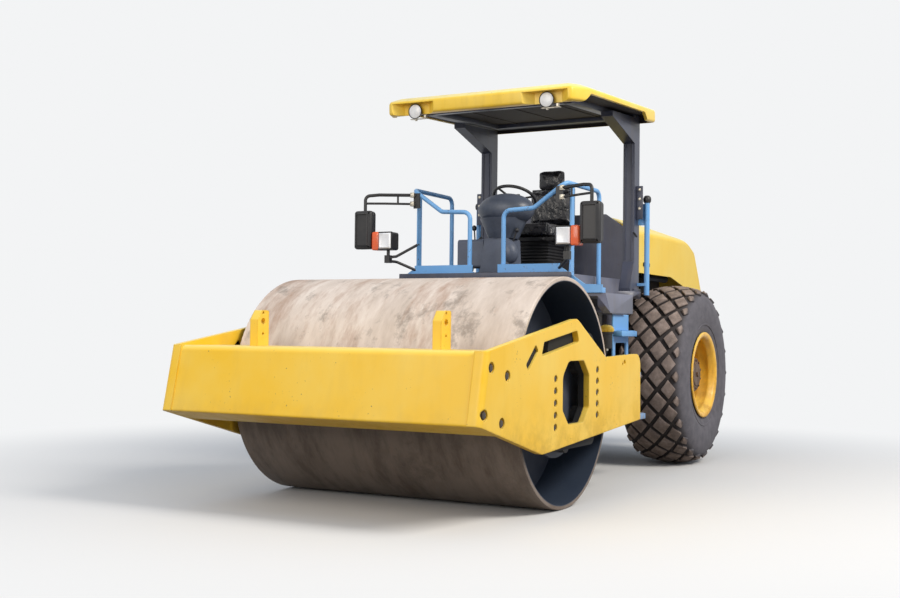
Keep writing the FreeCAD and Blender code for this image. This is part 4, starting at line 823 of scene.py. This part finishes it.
plate_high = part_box("side_plate_left")[1]
pocket_floor = plate_high.y - 0.016
bolt_pitch = 0.076
heads = []
for ahead, lowest in ((0.355, 0.558), (-0.348, 0.598)):
    for row in range(5):
        place = (drum_x + ahead, pocket_floor, lowest + row * bolt_pitch)
        heads.append(bolt_head(place, LEFT, 0.030, 0.013))
for behind, z in ((0.138, 0.951), (0.345, 0.900), (0.059, 0.690), (0.276, 0.632)):
    heads.append(bolt_head((plate_high.x - behind, pocket_floor, z), LEFT, 0.041, 0.014))
on_both_sides(heads, "side_plate_bolts", oiled_bolts, "front_frame")
print("bolts in a side plate", len(heads))

# %% Bolts and grease cap of the drum's bearing, seen through the window
bearing_point = (drum_x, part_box("drum_carrier_left")[1].y - 0.012, drum_z)
cap_bolt = bolt_head((drum_x, bearing_point[1], drum_z + 0.118), LEFT, 0.024, 0.012)
cap_section = (
    (0.0, 0.0), (0.086, 0.0), (0.090, 0.004), (0.090, 0.012), (0.082, 0.018), (0.050, 0.022),
    (0.046, 0.034), (0.020, 0.038), (0.0, 0.038),
)
cap = turned(cap_section, bearing_point, LEFT, 48)
bearing_cap = [cap] + ring_of(cap_bolt, 8, "Y", bearing_point, 22.5)
on_both_sides(bearing_cap, "bearing_cap", carrier_iron, "front_frame")

# %% [markdown]
# ## Mirrors and head lamps
# A mirror is a moulded shell with the glass set into its back, on two bent tubes tied by a short
# strut. The head lamp is a flat-faced box with a frosted reflector behind clear polycarbonate, and
# an amber indicator that wraps round its outer edge. The solids give the boxes; the shells, lenses
# and clamps are laid on them.

# %% Mirror shells, glass and clamps
mirror_low, mirror_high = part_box("mirror_left")
mirror_spot = Vector((0.890, mirror_high.y - 0.078, mirror_low.z + 0.150))
shell = block(mirror_spot + FORE * 0.001, (0.058, 0.160, 0.304), 0.024, 4)
pressed(shell, FORE, (0.020, 0.006))
pressed(shell, -FORE, (0.004, -0.008))
strut = bar((0.735, 0.742, 2.152), (0.735, 0.742, 2.226), 0.008)
on_both_sides([shell, strut], "mirror_shell", black_plastic)
glass = block(mirror_spot - FORE * 0.021, (0.004, 0.118, 0.262), 0.0018, 1)
on_both_sides(glass, "mirror_glass", mirror_silver)
clamps = []
for z in (2.225, 2.155):
    clamps.append(block((0.677, 0.642, z), (0.030, 0.036, 0.040), 0.006, 2))
    clamps.append(bolt_head((0.691, 0.642, z), FORE, 0.016, 0.009))
on_both_sides(clamps, "mirror_clamps", bolt_zinc)
print("mirror glass in mm", 118, "by", 262)

# %% Head lamp lenses and indicators
lamp_x, lamp_y, lamp_z = 0.910, 0.770, 1.850
lens = block((lamp_x, lamp_y - 0.018, lamp_z), (0.012, 0.108, 0.122), 0.005, 2)
on_both_sides(pressed(lens, FORE, (0.010, 0.003)), "head_lamp_lens", lamp_lens)
bezel = block((lamp_x - 0.008, lamp_y - 0.018, lamp_z), (0.020, 0.128, 0.143), 0.007, 2)
pressed(bezel, FORE, (0.008, -0.006))
cable_path = (
    (0.862, 0.748, 1.775), (0.856, 0.742, 1.735), (0.850, 0.735, 1.716), (0.80, 0.72, 1.728),
    (0.76, 0.70, 1.745),
)
bezel = [bezel, pipe("lamp_cable", cable_path, 0.004, 8)]
on_both_sides(bezel, "head_lamp_bezel", black_plastic)
amber = block((lamp_x - 0.043, lamp_y + 0.070, lamp_z), (0.092, 0.066, 0.145), 0.012, 3)
on_both_sides(pressed(amber, LEFT, (0.010, 0.003)), "indicator_lens", amber_lens)

# %% [markdown]
# ## Work lamps and the roof's lining
# The roof is tipped three degrees forward, so what belongs to it is made level and tipped about the
# same edge. The work lamps are pressed bowls with a white glass; their brackets hang from the
# pocket, and a brown plate at each pocket's back is painted shade. The lining is dark board, drawn
# near black as painted shade under the roof.

# %% Turn the work lamps
roof_tilt = 3
roof_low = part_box("canopy")[0]
tilt_angle = math.radians(roof_tilt)
edge_z = 3.075 - 0.150 * math.cos(tilt_angle) + 0.040 * math.sin(tilt_angle)
roof_edge = (roof_low.x, 0.0, edge_z)


def tipped(pieces):
    """Joins pieces of the roof and tips them forward about its lower rear edge."""
    return turned_by(together(pieces), roof_tilt, "Y", roof_edge)


lamp_nose = roof_low.x + 1.650 - 0.035
lamp_height = edge_z + 0.023
fitting_z = lamp_height - 0.060
bowl_section = (
    (0.0, -0.034), (0.034, -0.034), (0.052, -0.026), (0.058, -0.012), (0.059, -0.002),
    (0.056, 0.001), (0.0535, -0.002), (0.052, -0.008), (0.0, -0.008),
)
glass_section = (
    (0.0, -0.010), (0.0525, -0.010), (0.0525, -0.004), (0.042, 0.001), (0.024, 0.004), (0.0, 0.005)
)
bowls, glasses, lamp_fittings, pocket_shade_plates = [], [], [], []
for y in (-0.560, 0.560):
    bowls.append(turned(bowl_section, (lamp_nose, y, lamp_height), FORE, 40))
    glasses.append(turned(glass_section, (lamp_nose, y, lamp_height), FORE, 40))
    x = lamp_nose - 0.020
    lamp_fittings += [
        block((x, y + 0.030, fitting_z), (0.032, 0.150, 0.007), 0.002, 1),
        block((x, y + 0.085, fitting_z + 0.016), (0.026, 0.020, 0.026), 0.003, 1),
        bolt_head((x, y, fitting_z - 0.004), -UP, 0.019, 0.010),
    ]
    # a brown plate at the back of each pocket: painted shade
    pocket_shade_plates.append(block((0.7585, y, edge_z + 0.042), (0.002, 0.214, 0.082), 0.0005, 1))
finished(tipped(bowls), "work_lamp_bowls", black_plastic)
finished(tipped(lamp_fittings), "work_lamp_fittings", bolt_zinc)
finished(tipped(pocket_shade_plates), "work_lamp_pocket_painted_shade", pocket_painted_shade_enamel)
finished(tipped(glasses), "work_lamp_glasses", lamp_lens, stands_for="work_lamps")

# %% Line the roof
# the lining's near black is painted shade under the roof as well as dark board
lining = [
    block((roof_low.x + 0.785, 0.0, edge_z + 0.073), (1.510, 1.640, 0.008), 0.002, 1),
    block((roof_low.x + 0.029, 0.0, edge_z + 0.038), (0.006, 1.560, 0.072), 0.002, 1),
]
for y in (-0.38, 0.0, 0.38):
    lining.append(block((roof_low.x + 0.80, y, edge_z + 0.067), (1.30, 0.030, 0.006), 0.002, 1))
finished(tipped(lining), "roof_lining_painted_shade", roof_liner_painted_shade)

# %% [markdown]
# ## The seat
# The seat is foam under embossed vinyl. A bevelled box looks like a box; a cloth simulation with
# air pressure gives the crown of the cushion and the pull at its corners. Each pad is remeshed
# evenly, blown up a little with what rests on the frame pinned, and smoothed by one subdivision.

# %% Blow up a pad
def blown_up(piece, pinned, cap):
    """Stuffs a closed form like a pad: pinned says which points stay, cap limits the rest."""
    alone(piece)
    even = piece.modifiers.new("even_mesh", "REMESH")
    even.mode = "VOXEL"
    even.voxel_size = 0.008
    bpy.ops.object.modifier_apply(modifier=even.name)
    held = piece.vertex_groups.new(name="held")
    held.add([v.index for v in piece.data.vertices if pinned(v.co)], 1.0, "REPLACE")
    before = [v.co.copy() for v in piece.data.vertices]
    stuffing = piece.modifiers.new("stuffing", "CLOTH")
    stuffing.settings.vertex_group_mass = "held"
    stuffing.settings.use_pressure = True
    stuffing.settings.uniform_pressure_force = 4.0
    stuffing.settings.effector_weights.gravity = 0.0
    for moment in range(1, 21):
        bpy.context.scene.frame_set(moment)
    bpy.ops.object.modifier_apply(modifier=stuffing.name)
    for vertex, place in zip(piece.data.vertices, before):
        moved = vertex.co - place
        if moved.length > cap:
            vertex.co = place + moved * (cap / moved.length)
    bpy.context.scene.frame_set(1)
    smooth = piece.modifiers.new("smooth", "SUBSURF")
    smooth.levels = 1
    smooth.render_levels = 1
    bpy.ops.object.modifier_apply(modifier=smooth.name)
    return piece


def pad(form, name, pinned, cap, stands_for=None):
    piece = blown_up(form, pinned, cap)
    finished(piece, name, seat_vinyl, sharp=None, stands_for=stands_for)
    for face in piece.data.polygons:
        face.use_smooth = True
    print(name, "faces", len(piece.data.polygons))


# %% Cushion, back and headrest
seat_x = middle_of("seat_cushion").x
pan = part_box("seat_cushion")[0].z
back_x = middle_of("seat_back").x
cushion = block((seat_x, 0, pan + 0.052), (0.420, 0.440, 0.092), 0.028, 3)
pick_faces(cushion, FORE)
bpy.ops.transform.translate(value=(0.014, 0, 0.010))
in_mode("OBJECT")
pad(cushion, "seat_cushion_padded", lambda at: at.z < pan + 0.016, 0.022, "seat_cushion")
back = block((back_x, 0, 2.218), (0.062, 0.420, 0.320), 0.022, 3)
head = block((back_x, 0, 2.458), (0.058, 0.230, 0.160), 0.024, 3)
for form, narrower in ((back, 0.80), (head, 0.84)):
    pick_faces(form, UP)
    bpy.ops.transform.resize(value=(0.9, narrower, 1.0))
    in_mode("OBJECT")
pad(back, "seat_back_padded", lambda at: at.x < back_x - 0.027, 0.020, "seat_back")
pad(head, "seat_headrest_padded", lambda at: at.x < back_x - 0.026, 0.014)

# %% Seat frame: back shell, headrest posts, slide rails, bellows and lever
frame_pieces = [
    block((back_x - 0.038, 0, 2.215), (0.014, 0.40, 0.34), 0.006, 2),
    block((back_x - 0.030, 0, 1.99), (0.030, 0.28, 0.16), 0.006, 2),
    block((seat_x, 0.150, pan - 0.018), (0.50, 0.030, 0.020), 0.004, 1),
    block((seat_x, -0.150, pan - 0.018), (0.50, 0.030, 0.020), 0.004, 1),
    bar((back_x, -0.055, 2.34), (back_x, -0.055, 2.44), 0.007),
    bar((back_x, 0.055, 2.34), (back_x, 0.055, 2.44), 0.007),
    bar((seat_x + 0.10, 0.225, pan - 0.03), (seat_x + 0.19, 0.262, pan - 0.01), 0.008),
    bar((seat_x + 0.17, 0.252, pan - 0.014), (seat_x + 0.215, 0.272, pan - 0.004), 0.014, 12, 0.004),
]
for fold in range(6):
    fold_spot = (seat_x - 0.025, 0, 1.742 + fold * 0.026)
    frame_pieces.append(block(fold_spot, (0.352, 0.342, 0.016), 0.007, 2))
finished(frame_pieces, "seat_frame_and_bellows", black_plastic)

# %% [markdown]
# ## Console fittings
# The operator looks at two round gauges and a row of switches, with levers at each hand and a horn
# under the side box. From the front only the knobs and the horn show, but the seat side gets the
# same care, because the machine is walked round.

# %% Gauges, switches, levers and the dome's band
dome = middle_of("console")
dome.z = 2.120
gauge_section = (
    (0.0, -0.006), (0.034, -0.006), (0.036, 0.002), (0.034, 0.006), (0.030, 0.006), (0.028, 0.002),
    (0.0, 0.001),
)
fittings = []
for side in (-1, 1):
    gauge = turned(gauge_section, (0, 0, 0), FORE, 32)
    facing = Vector((-0.75, 0.35 * side, 0.56)).normalized()
    aim = facing.to_track_quat("X", "Z").to_matrix().to_4x4()
    gauge.data.transform(Matrix.Translation(dome + Vector((-0.137, 0.097 * side, 0.059))) @ aim)
    fittings.append(gauge)
for i in range(4):
    key_place = dome + Vector((-0.060, -0.075 + 0.05 * i, 0.126))
    fittings.append(block(key_place, (0.016, 0.026, 0.010), 0.003, 2))
stalks = (
    # foot, knob, knob radius
    ((0.285, -0.285, 1.885), (0.270, -0.300, 1.985), 0.020),
    ((0.255, -0.345, 1.885), (0.235, -0.360, 1.965), 0.017),
    ((0.235, -0.235, 2.100), (0.205, -0.262, 2.150), 0.015),
    ((0.345, 0.085, 1.865), (0.352, 0.120, 1.950), 0.016),
)
for foot, knob, radius in stalks:
    fittings.append(bar(foot, knob, 0.006))
    ball = primitive(
        bpy.ops.mesh.primitive_uv_sphere_add,
        segments=20,
        ring_count=12,
        radius=radius,
        location=knob,
        scale=(1, 1, 1.2),
    )
    fittings.append(ball)
band_section = ((0.0, -0.098), (0.118, -0.098), (0.124, -0.088), (0.116, -0.080), (0.0, -0.080))
band = turned(band_section, dome, UP, 48)
wider = Matrix.Scale(1.20, 4, LEFT)
band.data.transform(Matrix.Translation(dome) @ wider @ Matrix.Translation(-dome))
fittings.append(band)
finished(fittings, "console_fittings", black_plastic)

# %% Horn, and the boss of the steering wheel
horn_section = (
    (0.0, -0.050), (0.026, -0.050), (0.030, -0.040), (0.024, -0.022), (0.022, -0.010),
    (0.032, 0.004), (0.036, 0.012), (0.034, 0.013), (0.020, 0.002), (0.0, 0.000),
)
horn = turned(horn_section, (0.372, -0.300, 1.650), FORE, 32)
finished(horn, "horn_trumpet", horn_brass)
hub = Vector((0.110, -0.020, 2.238))
lean = Vector((-0.5, 0, 1)).normalized()
boss_section = (
    (0.0, -0.012), (0.044, -0.012), (0.050, -0.004), (0.046, 0.008), (0.030, 0.014), (0.0, 0.016)
)
boss = turned(boss_section, (0, 0, 0), UP, 32)
leaning = lean.to_track_quat("Z", "Y").to_matrix().to_4x4()
boss.data.transform(Matrix.Translation(hub - lean * 0.012) @ leaning)
finished(boss, "steering_wheel_boss", black_plastic)

# %% [markdown]
# ## Fittings of the platform
# Small hardware tells the size of the machine: the bolted bracket between post and grab pole, the
# latch on the post, ribbed rubber on the floor, the rail's rear foot, and the filler
# with its yellow cap and hoses under the left wing.

# %% Grab pole brackets, post ridges and latch
post_low, post_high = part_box("rops_post_left")
post_x = post_low.x + 0.120
bracket_y = post_high.y + 0.030
ridges = [
    block((post_low.x + 0.080, bracket_y, 2.245), (0.012, 0.060, 0.280), 0.003, 2),
    block((post_low.x + 0.060, post_high.y + 0.004, 1.512), (0.170, 0.008, 0.024), 0.002, 1),
]
for y in (post_low.y + 0.022, post_high.y - 0.022):
    ridges.append(block((post_x + 0.003, y, 2.27), (0.008, 0.008, 1.02), 0.002, 1))
on_both_sides(ridges, "post_trim", slate_enamel)
small_bolts = []
for z in (2.355, 2.275, 2.195):
    small_bolts.append(bolt_head((post_low.x + 0.086, bracket_y + 0.004, z), FORE, 0.019, 0.009))
for y in (post_low.y + 0.03, post_high.y - 0.03):
    small_bolts.append(bolt_head((post_x + 0.055, y, 1.526), UP, 0.024, 0.012))
on_both_sides(small_bolts, "post_bolts", bolt_zinc)
latch_foot = (post_x - 0.01, post_high.y - 0.01, 1.995)
latch = bar(latch_foot, (post_x + 0.022, bracket_y, 1.955), 0.009, 12, 0.003)
pole_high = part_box("grab_pole_left")[1]
knob_section = (
    (0.0, -0.03), (0.026, -0.03), (0.033, -0.018), (0.034, 0.006), (0.028, 0.022), (0.016, 0.031),
    (0.0, 0.033),
)
knob_spot = (post_low.x + 0.015, pole_high.y - 0.032, pole_high.z - 0.032)
knob = turned(knob_section, knob_spot, UP, 24)
on_both_sides([latch, knob], "latch_and_knob", black_plastic)

# %% Floor mat and the rail's rear foot
floor_top = 1.600
mat = block((0.235, 0, floor_top + 0.003), (0.800, 1.040, 0.006), 0.002, 1)
rib = block((-0.14, 0, floor_top + 0.007), (0.008, 1.000, 0.004), 0.0015, 1)
finished([mat] + row_of(rib, 31, 0.025), "floor_mat_ribbed", mount_rubber)
rail_foot = block((-0.012, 0.655, 1.478), (0.094, 0.104, 0.064), 0.006, 2)
on_both_sides(rail_foot, "rail_foot", blue_enamel)
print("mat and rail feet made")

# %% Filler with its bracket and hoses
filler = Vector((0.020, 0.745, 1.160))
neck_section = (
    (0.0, -0.13), (0.040, -0.13), (0.046, -0.12), (0.046, -0.02), (0.052, -0.015), (0.052, 0.0),
    (0.0, 0.0),
)
routes = (
    # hose radius, and the points that it runs past
    (0.013, ((0.020, 0.745, 1.035), (0.020, 0.745, 1.000), (-0.02, 0.70, 0.985),
             (-0.14, 0.62, 1.06), (-0.24, 0.60, 1.16), (-0.31, 0.60, 1.21))),
    (0.013, ((0.050, 0.700, 1.150), (0.075, 0.680, 1.110), (0.05, 0.62, 1.060),
             (-0.10, 0.57, 1.12), (-0.22, 0.56, 1.22), (-0.31, 0.56, 1.25))),
    (0.009, ((0.010, 0.700, 1.180), (-0.03, 0.660, 1.150), (-0.12, 0.60, 1.180),
             (-0.22, 0.54, 1.27), (-0.31, 0.53, 1.29))),
)
hoses = [
    turned(neck_section, filler, UP, 32),
    block((filler.x, filler.y - 0.060, 1.205), (0.085, 0.012, 0.215), 0.003, 2),
    block((filler.x, filler.y - 0.075, 1.292), (0.085, 0.050, 0.014), 0.003, 2),
]
hose_ends = []
for radius, route in routes:
    hoses.append(pipe("filler_hose", route, radius, 12))
    start = Vector(route[0])
    hose_ends.append(bar(start + UP * 0.012, start - UP * 0.022, 0.017, 6, 0.002))
finished(hoses, "filler_and_hoses", hose_rubber)
finished(hose_ends, "hose_fittings", bolt_zinc)

# %% The filler's yellow cap with its grips
filler_cap_section = (
    (0.0, 0.0), (0.054, 0.0), (0.058, 0.006), (0.058, 0.022), (0.053, 0.036), (0.040, 0.048),
    (0.020, 0.055), (0.0, 0.056),
)
filler_cap = turned(filler_cap_section, filler, UP, 40)
grip = block(filler + Vector((0.058, 0, 0.014)), (0.006, 0.012, 0.018), 0.002, 1)
grips = ring_of(grip, 10, "Z", filler)
finished([filler_cap] + grips, "filler_cap_yellow", yellow_enamel)

# %% [markdown]
# ## The roof
# The real roof is one moulded shell: a shallow pan with clipped front corners, a raised crown, a
# low skirt along its sides and a flared pocket for each work lamp. It is drawn as an outline,
# pulled up, and hollowed with cutters, as the mould maker would think of it, then tipped forward.

# %% Draw the shell and round its edges
def slab(points, z, height):
    """A flat outline at a level, filled and pulled up to a height."""
    piece = outline([(x, y, z) for x, y in points])
    whole(piece)
    bpy.ops.mesh.edge_face_add()
    bpy.ops.mesh.extrude_region_move(TRANSFORM_OT_translate={"value": UP * height})
    bpy.ops.mesh.select_all(action="SELECT")
    bpy.ops.mesh.normals_make_consistent(inside=False)
    in_mode("OBJECT")
    return piece


def cut_out(piece, cutters):
    """Takes the cutters away from a piece, one after the other, and deletes them."""
    for cutter in cutters:
        alone(piece)
        hollow = piece.modifiers.new("cut", "BOOLEAN")
        hollow.operation = "DIFFERENCE"
        hollow.solver = "EXACT"
        hollow.object = cutter
        bpy.ops.object.modifier_apply(modifier=hollow.name)
        bpy.data.objects.remove(cutter)
    return piece


def roof_outline(inset, foremost=1.0):
    """The roof seen from above, drawn smaller by an inset, and cut off at a foremost X."""
    back, side, front = roof_low.x + inset, 0.850 - inset, roof_low.x + 1.650 - inset
    corner = 0.775 - inset * 0.8
    left_edge = [(back, side), (min(front - 0.180, foremost), side), (min(front, foremost), corner)]
    return left_edge + [(x, -y) for x, y in reversed(left_edge)]


shell = slab(roof_outline(0.0), edge_z, 0.102)
pressed(shell, UP, (0.095, 0.036), (0.090, 0.011))
rounding = shell.modifiers.new("moulded_edges", "BEVEL")
rounding.width = 0.022
rounding.segments = 4
rounding.angle_limit = math.radians(40)
rounding.use_clamp_overlap = True
alone(shell)
bpy.ops.object.modifier_apply(modifier=rounding.name)

# %% Hollow the roof, and cut its lamp pockets and skirts
cavity = slab(roof_outline(0.026, foremost=0.748), edge_z - 0.03, 0.108)
cutters = [pressed(cavity, UP, (0.095, 0.036))]
for side in (-1, 1):
    y = side * 0.560
    mouth = ((0.760, y - 0.110), (0.840, y - 0.190), (0.840, y + 0.190), (0.760, y + 0.110))
    cutters.append(slab(mouth, edge_z - 0.02, 0.106))
    inner, outer = side * 0.770, side * 0.900
    low_edge = ((-0.645, inner), (0.735, inner), (0.735, outer), (-0.645, outer))
    skirt = slab(low_edge, edge_z - 0.03, 0.092)
    pick_faces(skirt, UP)
    bpy.ops.transform.resize(value=(1.19 / 1.38, 1, 1))
    in_mode("OBJECT")
    cutters.append(skirt)
roof = tipped([cut_out(shell, cutters)])
finished(roof, "roof_shell", roof_enamel, sharp=30, stands_for="canopy")
print("roof faces", len(roof.data.polygons))

# %% [markdown]
# ## The roof's frame
# Two box rails and two cross members carry the roof. They are cut from square tube, so their edges
# are only lightly rounded. The posts run on up to the rear cross member, and a web on each side
# fills the wedge between the tipped rail and the level post head.

# %% Frame the roof
rail_z = edge_z + 0.066
rails = [
    block((-0.110, -0.600, rail_z), (1.230, 0.080, 0.072), 0.005, 2),
    block((-0.110, 0.600, rail_z), (1.230, 0.080, 0.072), 0.005, 2),
    block((0.470, 0, rail_z), (0.070, 1.270, 0.072), 0.005, 2),
]
frame_pieces = [tipped(rails), block((-0.720, 0, 2.985), (0.110, 1.440, 0.060), 0.005, 2)]
for side in (-1, 1):
    web = block((-0.465, side * 0.670, 2.935), (0.639, 0.0996, 0.096))
    for vertex in web.data.vertices:
        if vertex.co.z > 2.95:
            vertex.co.z = 2.967 - (vertex.co.x + 0.815) * 0.0524
    frame_pieces.append(web)
roof_frame = together(frame_pieces)
finished(roof_frame, "roof_frame", slate_enamel, stands_for="rops_top")
print("frame top in mm", round(max(v.co.z for v in roof_frame.data.vertices) * 1000))

# %% [markdown]
# ## Access steps
# Each side has three folded treads on one pressed hanger with lightening windows. The treads are
# open behind, so mud falls through; the fold along the front is what stiffens them.

# %% Fold the treads and hang them
step_x, step_length, step_rise = -0.275, 0.350, 0.331
lowest_tread = 0.507
hanger = block((step_x, 0.748, 0.881), (step_length, 0.014, 0.838), 0.003, 1)
windows = []
for tread in range(2):
    z = lowest_tread + step_rise * tread + 0.143
    windows.append(block((step_x, 0.748, z), (step_length - 0.10, 0.05, 0.186), 0.020, 3))
steps = [cut_out(hanger, windows)]
for tread, reach in enumerate((0.152, 0.110, 0.075)):
    top = lowest_tread + step_rise * tread
    fold = block((step_x, 0.755 + reach / 2, top - 0.0225), (step_length, reach, 0.045), 0.006, 2)
    pick_faces(fold, -UP)
    bpy.ops.mesh.inset(thickness=0.004)
    bpy.ops.mesh.extrude_region_move(TRANSFORM_OT_translate={"value": UP * 0.036})
    in_mode("OBJECT")
    rib_spot = (step_x - 0.135, 0.757 + reach / 2, top + 0.002)
    rib = block(rib_spot, (0.012, reach - 0.022, 0.005), 0.0015, 1)
    steps += [fold] + row_of(rib, 6, 0.054)
on_both_sides(steps, "folded_steps", blue_enamel, stands_for="steps")

# %% [markdown]
# ## Steering wheel
# The wheel sits low behind the console's dome: a ring of foam rubber, 26 mm thick, on three spokes.

# %% Turn the ring and set the spokes
ring = primitive(
    bpy.ops.mesh.primitive_torus_add,
    major_segments=72,
    minor_segments=16,
    major_radius=0.170,
    minor_radius=0.013,
    location=hub,
    rotation=lean.to_track_quat("Z", "Y").to_euler(),
)
wheel_pieces = [ring, bar(hub - lean * 0.150, hub - lean * 0.005, 0.022, 24, 0.003)]
fore_way = lean.cross(LEFT).normalized()
for degrees in (90, 210, 330):
    angle = math.radians(degrees)
    way = fore_way * math.cos(angle) + LEFT * math.sin(angle)
    wheel_pieces.append(bar(hub - lean * 0.020 + way * 0.030, hub + way * 0.162, 0.009, 12))
finished(wheel_pieces, "steering_ring", black_plastic, stands_for="steering_wheel")

# %% [markdown]
# ## The deck's wings
# The platform's wings end in front of the steps. The solid's are longer, so a copy of its own mesh
# is cut back with two blocks. A dark lip of folded plate runs under the kick plate at the front.

# %% Cut the wings back
wing_cutters = []
for side in (-1, 1):
    wing_cutters.append(block((-0.365, side * 0.900, 1.372), (0.880, 0.250, 0.154)))
deck = cut_out(copied(nodes["platform"]), wing_cutters)
finished(deck, "platform_deck", grey_enamel, stands_for="platform")
print("deck faces", len(deck.data.polygons))
front_lip = block((0.706, 0, 1.572), (0.070, 1.440, 0.054), 0.004, 2)
finished(front_lip, "platform_front_lip", slate_enamel)

# %% [markdown]
# ## The front beam's rolled edges
# The beam is folded from thick plate, so its long edges are broad radii that carry the longest
# highlight of the machine. The solid has them sharp. A copy of its mesh gets its flat faces back
# from the triangles, and then a bevel along its long edges. The small slot of the side plate,
# ahead of its window, is closed by a near black plate a little way in: a painted shadow.

# %% Round the beam and close the small slots
beam = copied(nodes["front_beam"])
whole(beam)
bpy.ops.mesh.remove_doubles(threshold=0.00002)
bpy.ops.mesh.dissolve_limited(angle_limit=math.radians(0.5))
nothing_picked(beam, "EDGE")
ends = beam.data.vertices
for edge in beam.data.edges:
    along = ends[edge.vertices[1]].co - ends[edge.vertices[0]].co
    edge.select = abs(along.y) > 0.95 * along.length and along.length > 0.30
print("long edges", sum(edge.select for edge in beam.data.edges))
in_mode("EDIT")
bpy.ops.mesh.bevel(offset=0.032, segments=5, affect="EDGES", clamp_overlap=True)
in_mode("OBJECT")
finished(beam, "front_beam_folded", yellow_enamel, "front_frame", 40, "front_beam")
print("beam faces", len(beam.data.polygons))
slot_plates = []
for side in (-1, 1):
    slot_spot = (drum_x + 0.710, side * 1.130, 1.000)
    slot_plates.append(turned_by(block(slot_spot, (0.190, 0.012, 0.060)), 39.6, "Y", slot_spot))
finished(slot_plates, "slot_shadow_plates", painted_shade_iron, "front_frame")

# %% [markdown]
# ## Hood handles and the engine's outside
# The hood is one moulding with a pull handle on each side. Under it the engine would take a
# hundred parts; what the eye looks for is a ribbed cover, round filters, a manifold and a few
# hoses, so those are laid on the plain block.

# %% Handles of the hood
hood_low, hood_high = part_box("hood")
handles = []
for side in (-1, 1):
    handle_spot = (hood_high.x - 0.22, side * (hood_high.y + 0.004), 1.742)
    handle = block(handle_spot, (0.150, 0.020, 0.034), 0.008, 3)
    handles.append(pressed(handle, LEFT, (0.006, 0.0), both=True))
finished(handles, "hood_handles", black_plastic, "engine_hood")
print("hood box in mm", [round(v * 1000) for v in (*hood_low, *hood_high)])

# %% The engine's cover and manifold
engine_low, engine_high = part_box("engine_block")
print("engine box in mm", [round(v * 1000) for v in (*engine_low, *engine_high)])
# places on the engine are given from the middle of its top, and the manifold is on its left
top_middle = Vector(((engine_low.x + engine_high.x) / 2, 0, engine_high.z))
left_side = top_middle + LEFT * engine_high.y
right_side = top_middle + LEFT * engine_low.y
cover = block(top_middle + UP * 0.006, (0.78, 0.20, 0.020), 0.006, 2)
rib = block(top_middle + Vector((-0.33, 0, 0.014)), (0.014, 0.21, 0.010), 0.003, 1)
iron = [cover] + row_of(rib, 7, 0.11)
for x in (-0.27, -0.09, 0.09, 0.27):
    port = left_side + Vector((x, -0.005, -0.10))
    iron.append(bar(port, left_side + Vector((x, 0.055, -0.12)), 0.028, 20, 0.004))
manifold = (left_side + Vector((-0.30, 0.050, -0.12)), left_side + Vector((0.30, 0.050, -0.12)))
iron.append(bar(*manifold, 0.034, 24, 0.008))
finished(iron, "engine_covers", carrier_iron)

# %% The engine's filters and lines
filters = []
for x, radius in ((-0.18, 0.048), (-0.04, 0.040), (0.10, 0.040)):
    filter_section = (
        (0.0, -0.19), (radius - 0.012, -0.19), (radius, -0.178), (radius, -0.02),
        (radius + 0.004, -0.012), (radius + 0.004, 0.0), (0.0, 0.0),
    )
    filter_head = right_side + Vector((x, -radius - 0.012, -0.10))
    filters.append(turned(filter_section, filter_head, UP, 32))
finished(filters, "engine_filters", blue_enamel)
lines = []
for i in range(4):
    line = right_side + Vector((0, -0.02 - 0.012 * i, -0.045 - 0.022 * i))
    bends = ((-0.38, 0.02, -0.03), (-0.2, 0, 0), (0.2, 0, 0), (0.37, 0.03, -0.05))
    lines.append(pipe("engine_line", [line + Vector(bend) for bend in bends], 0.008, 10))
finished(lines, "engine_hoses", hose_rubber)
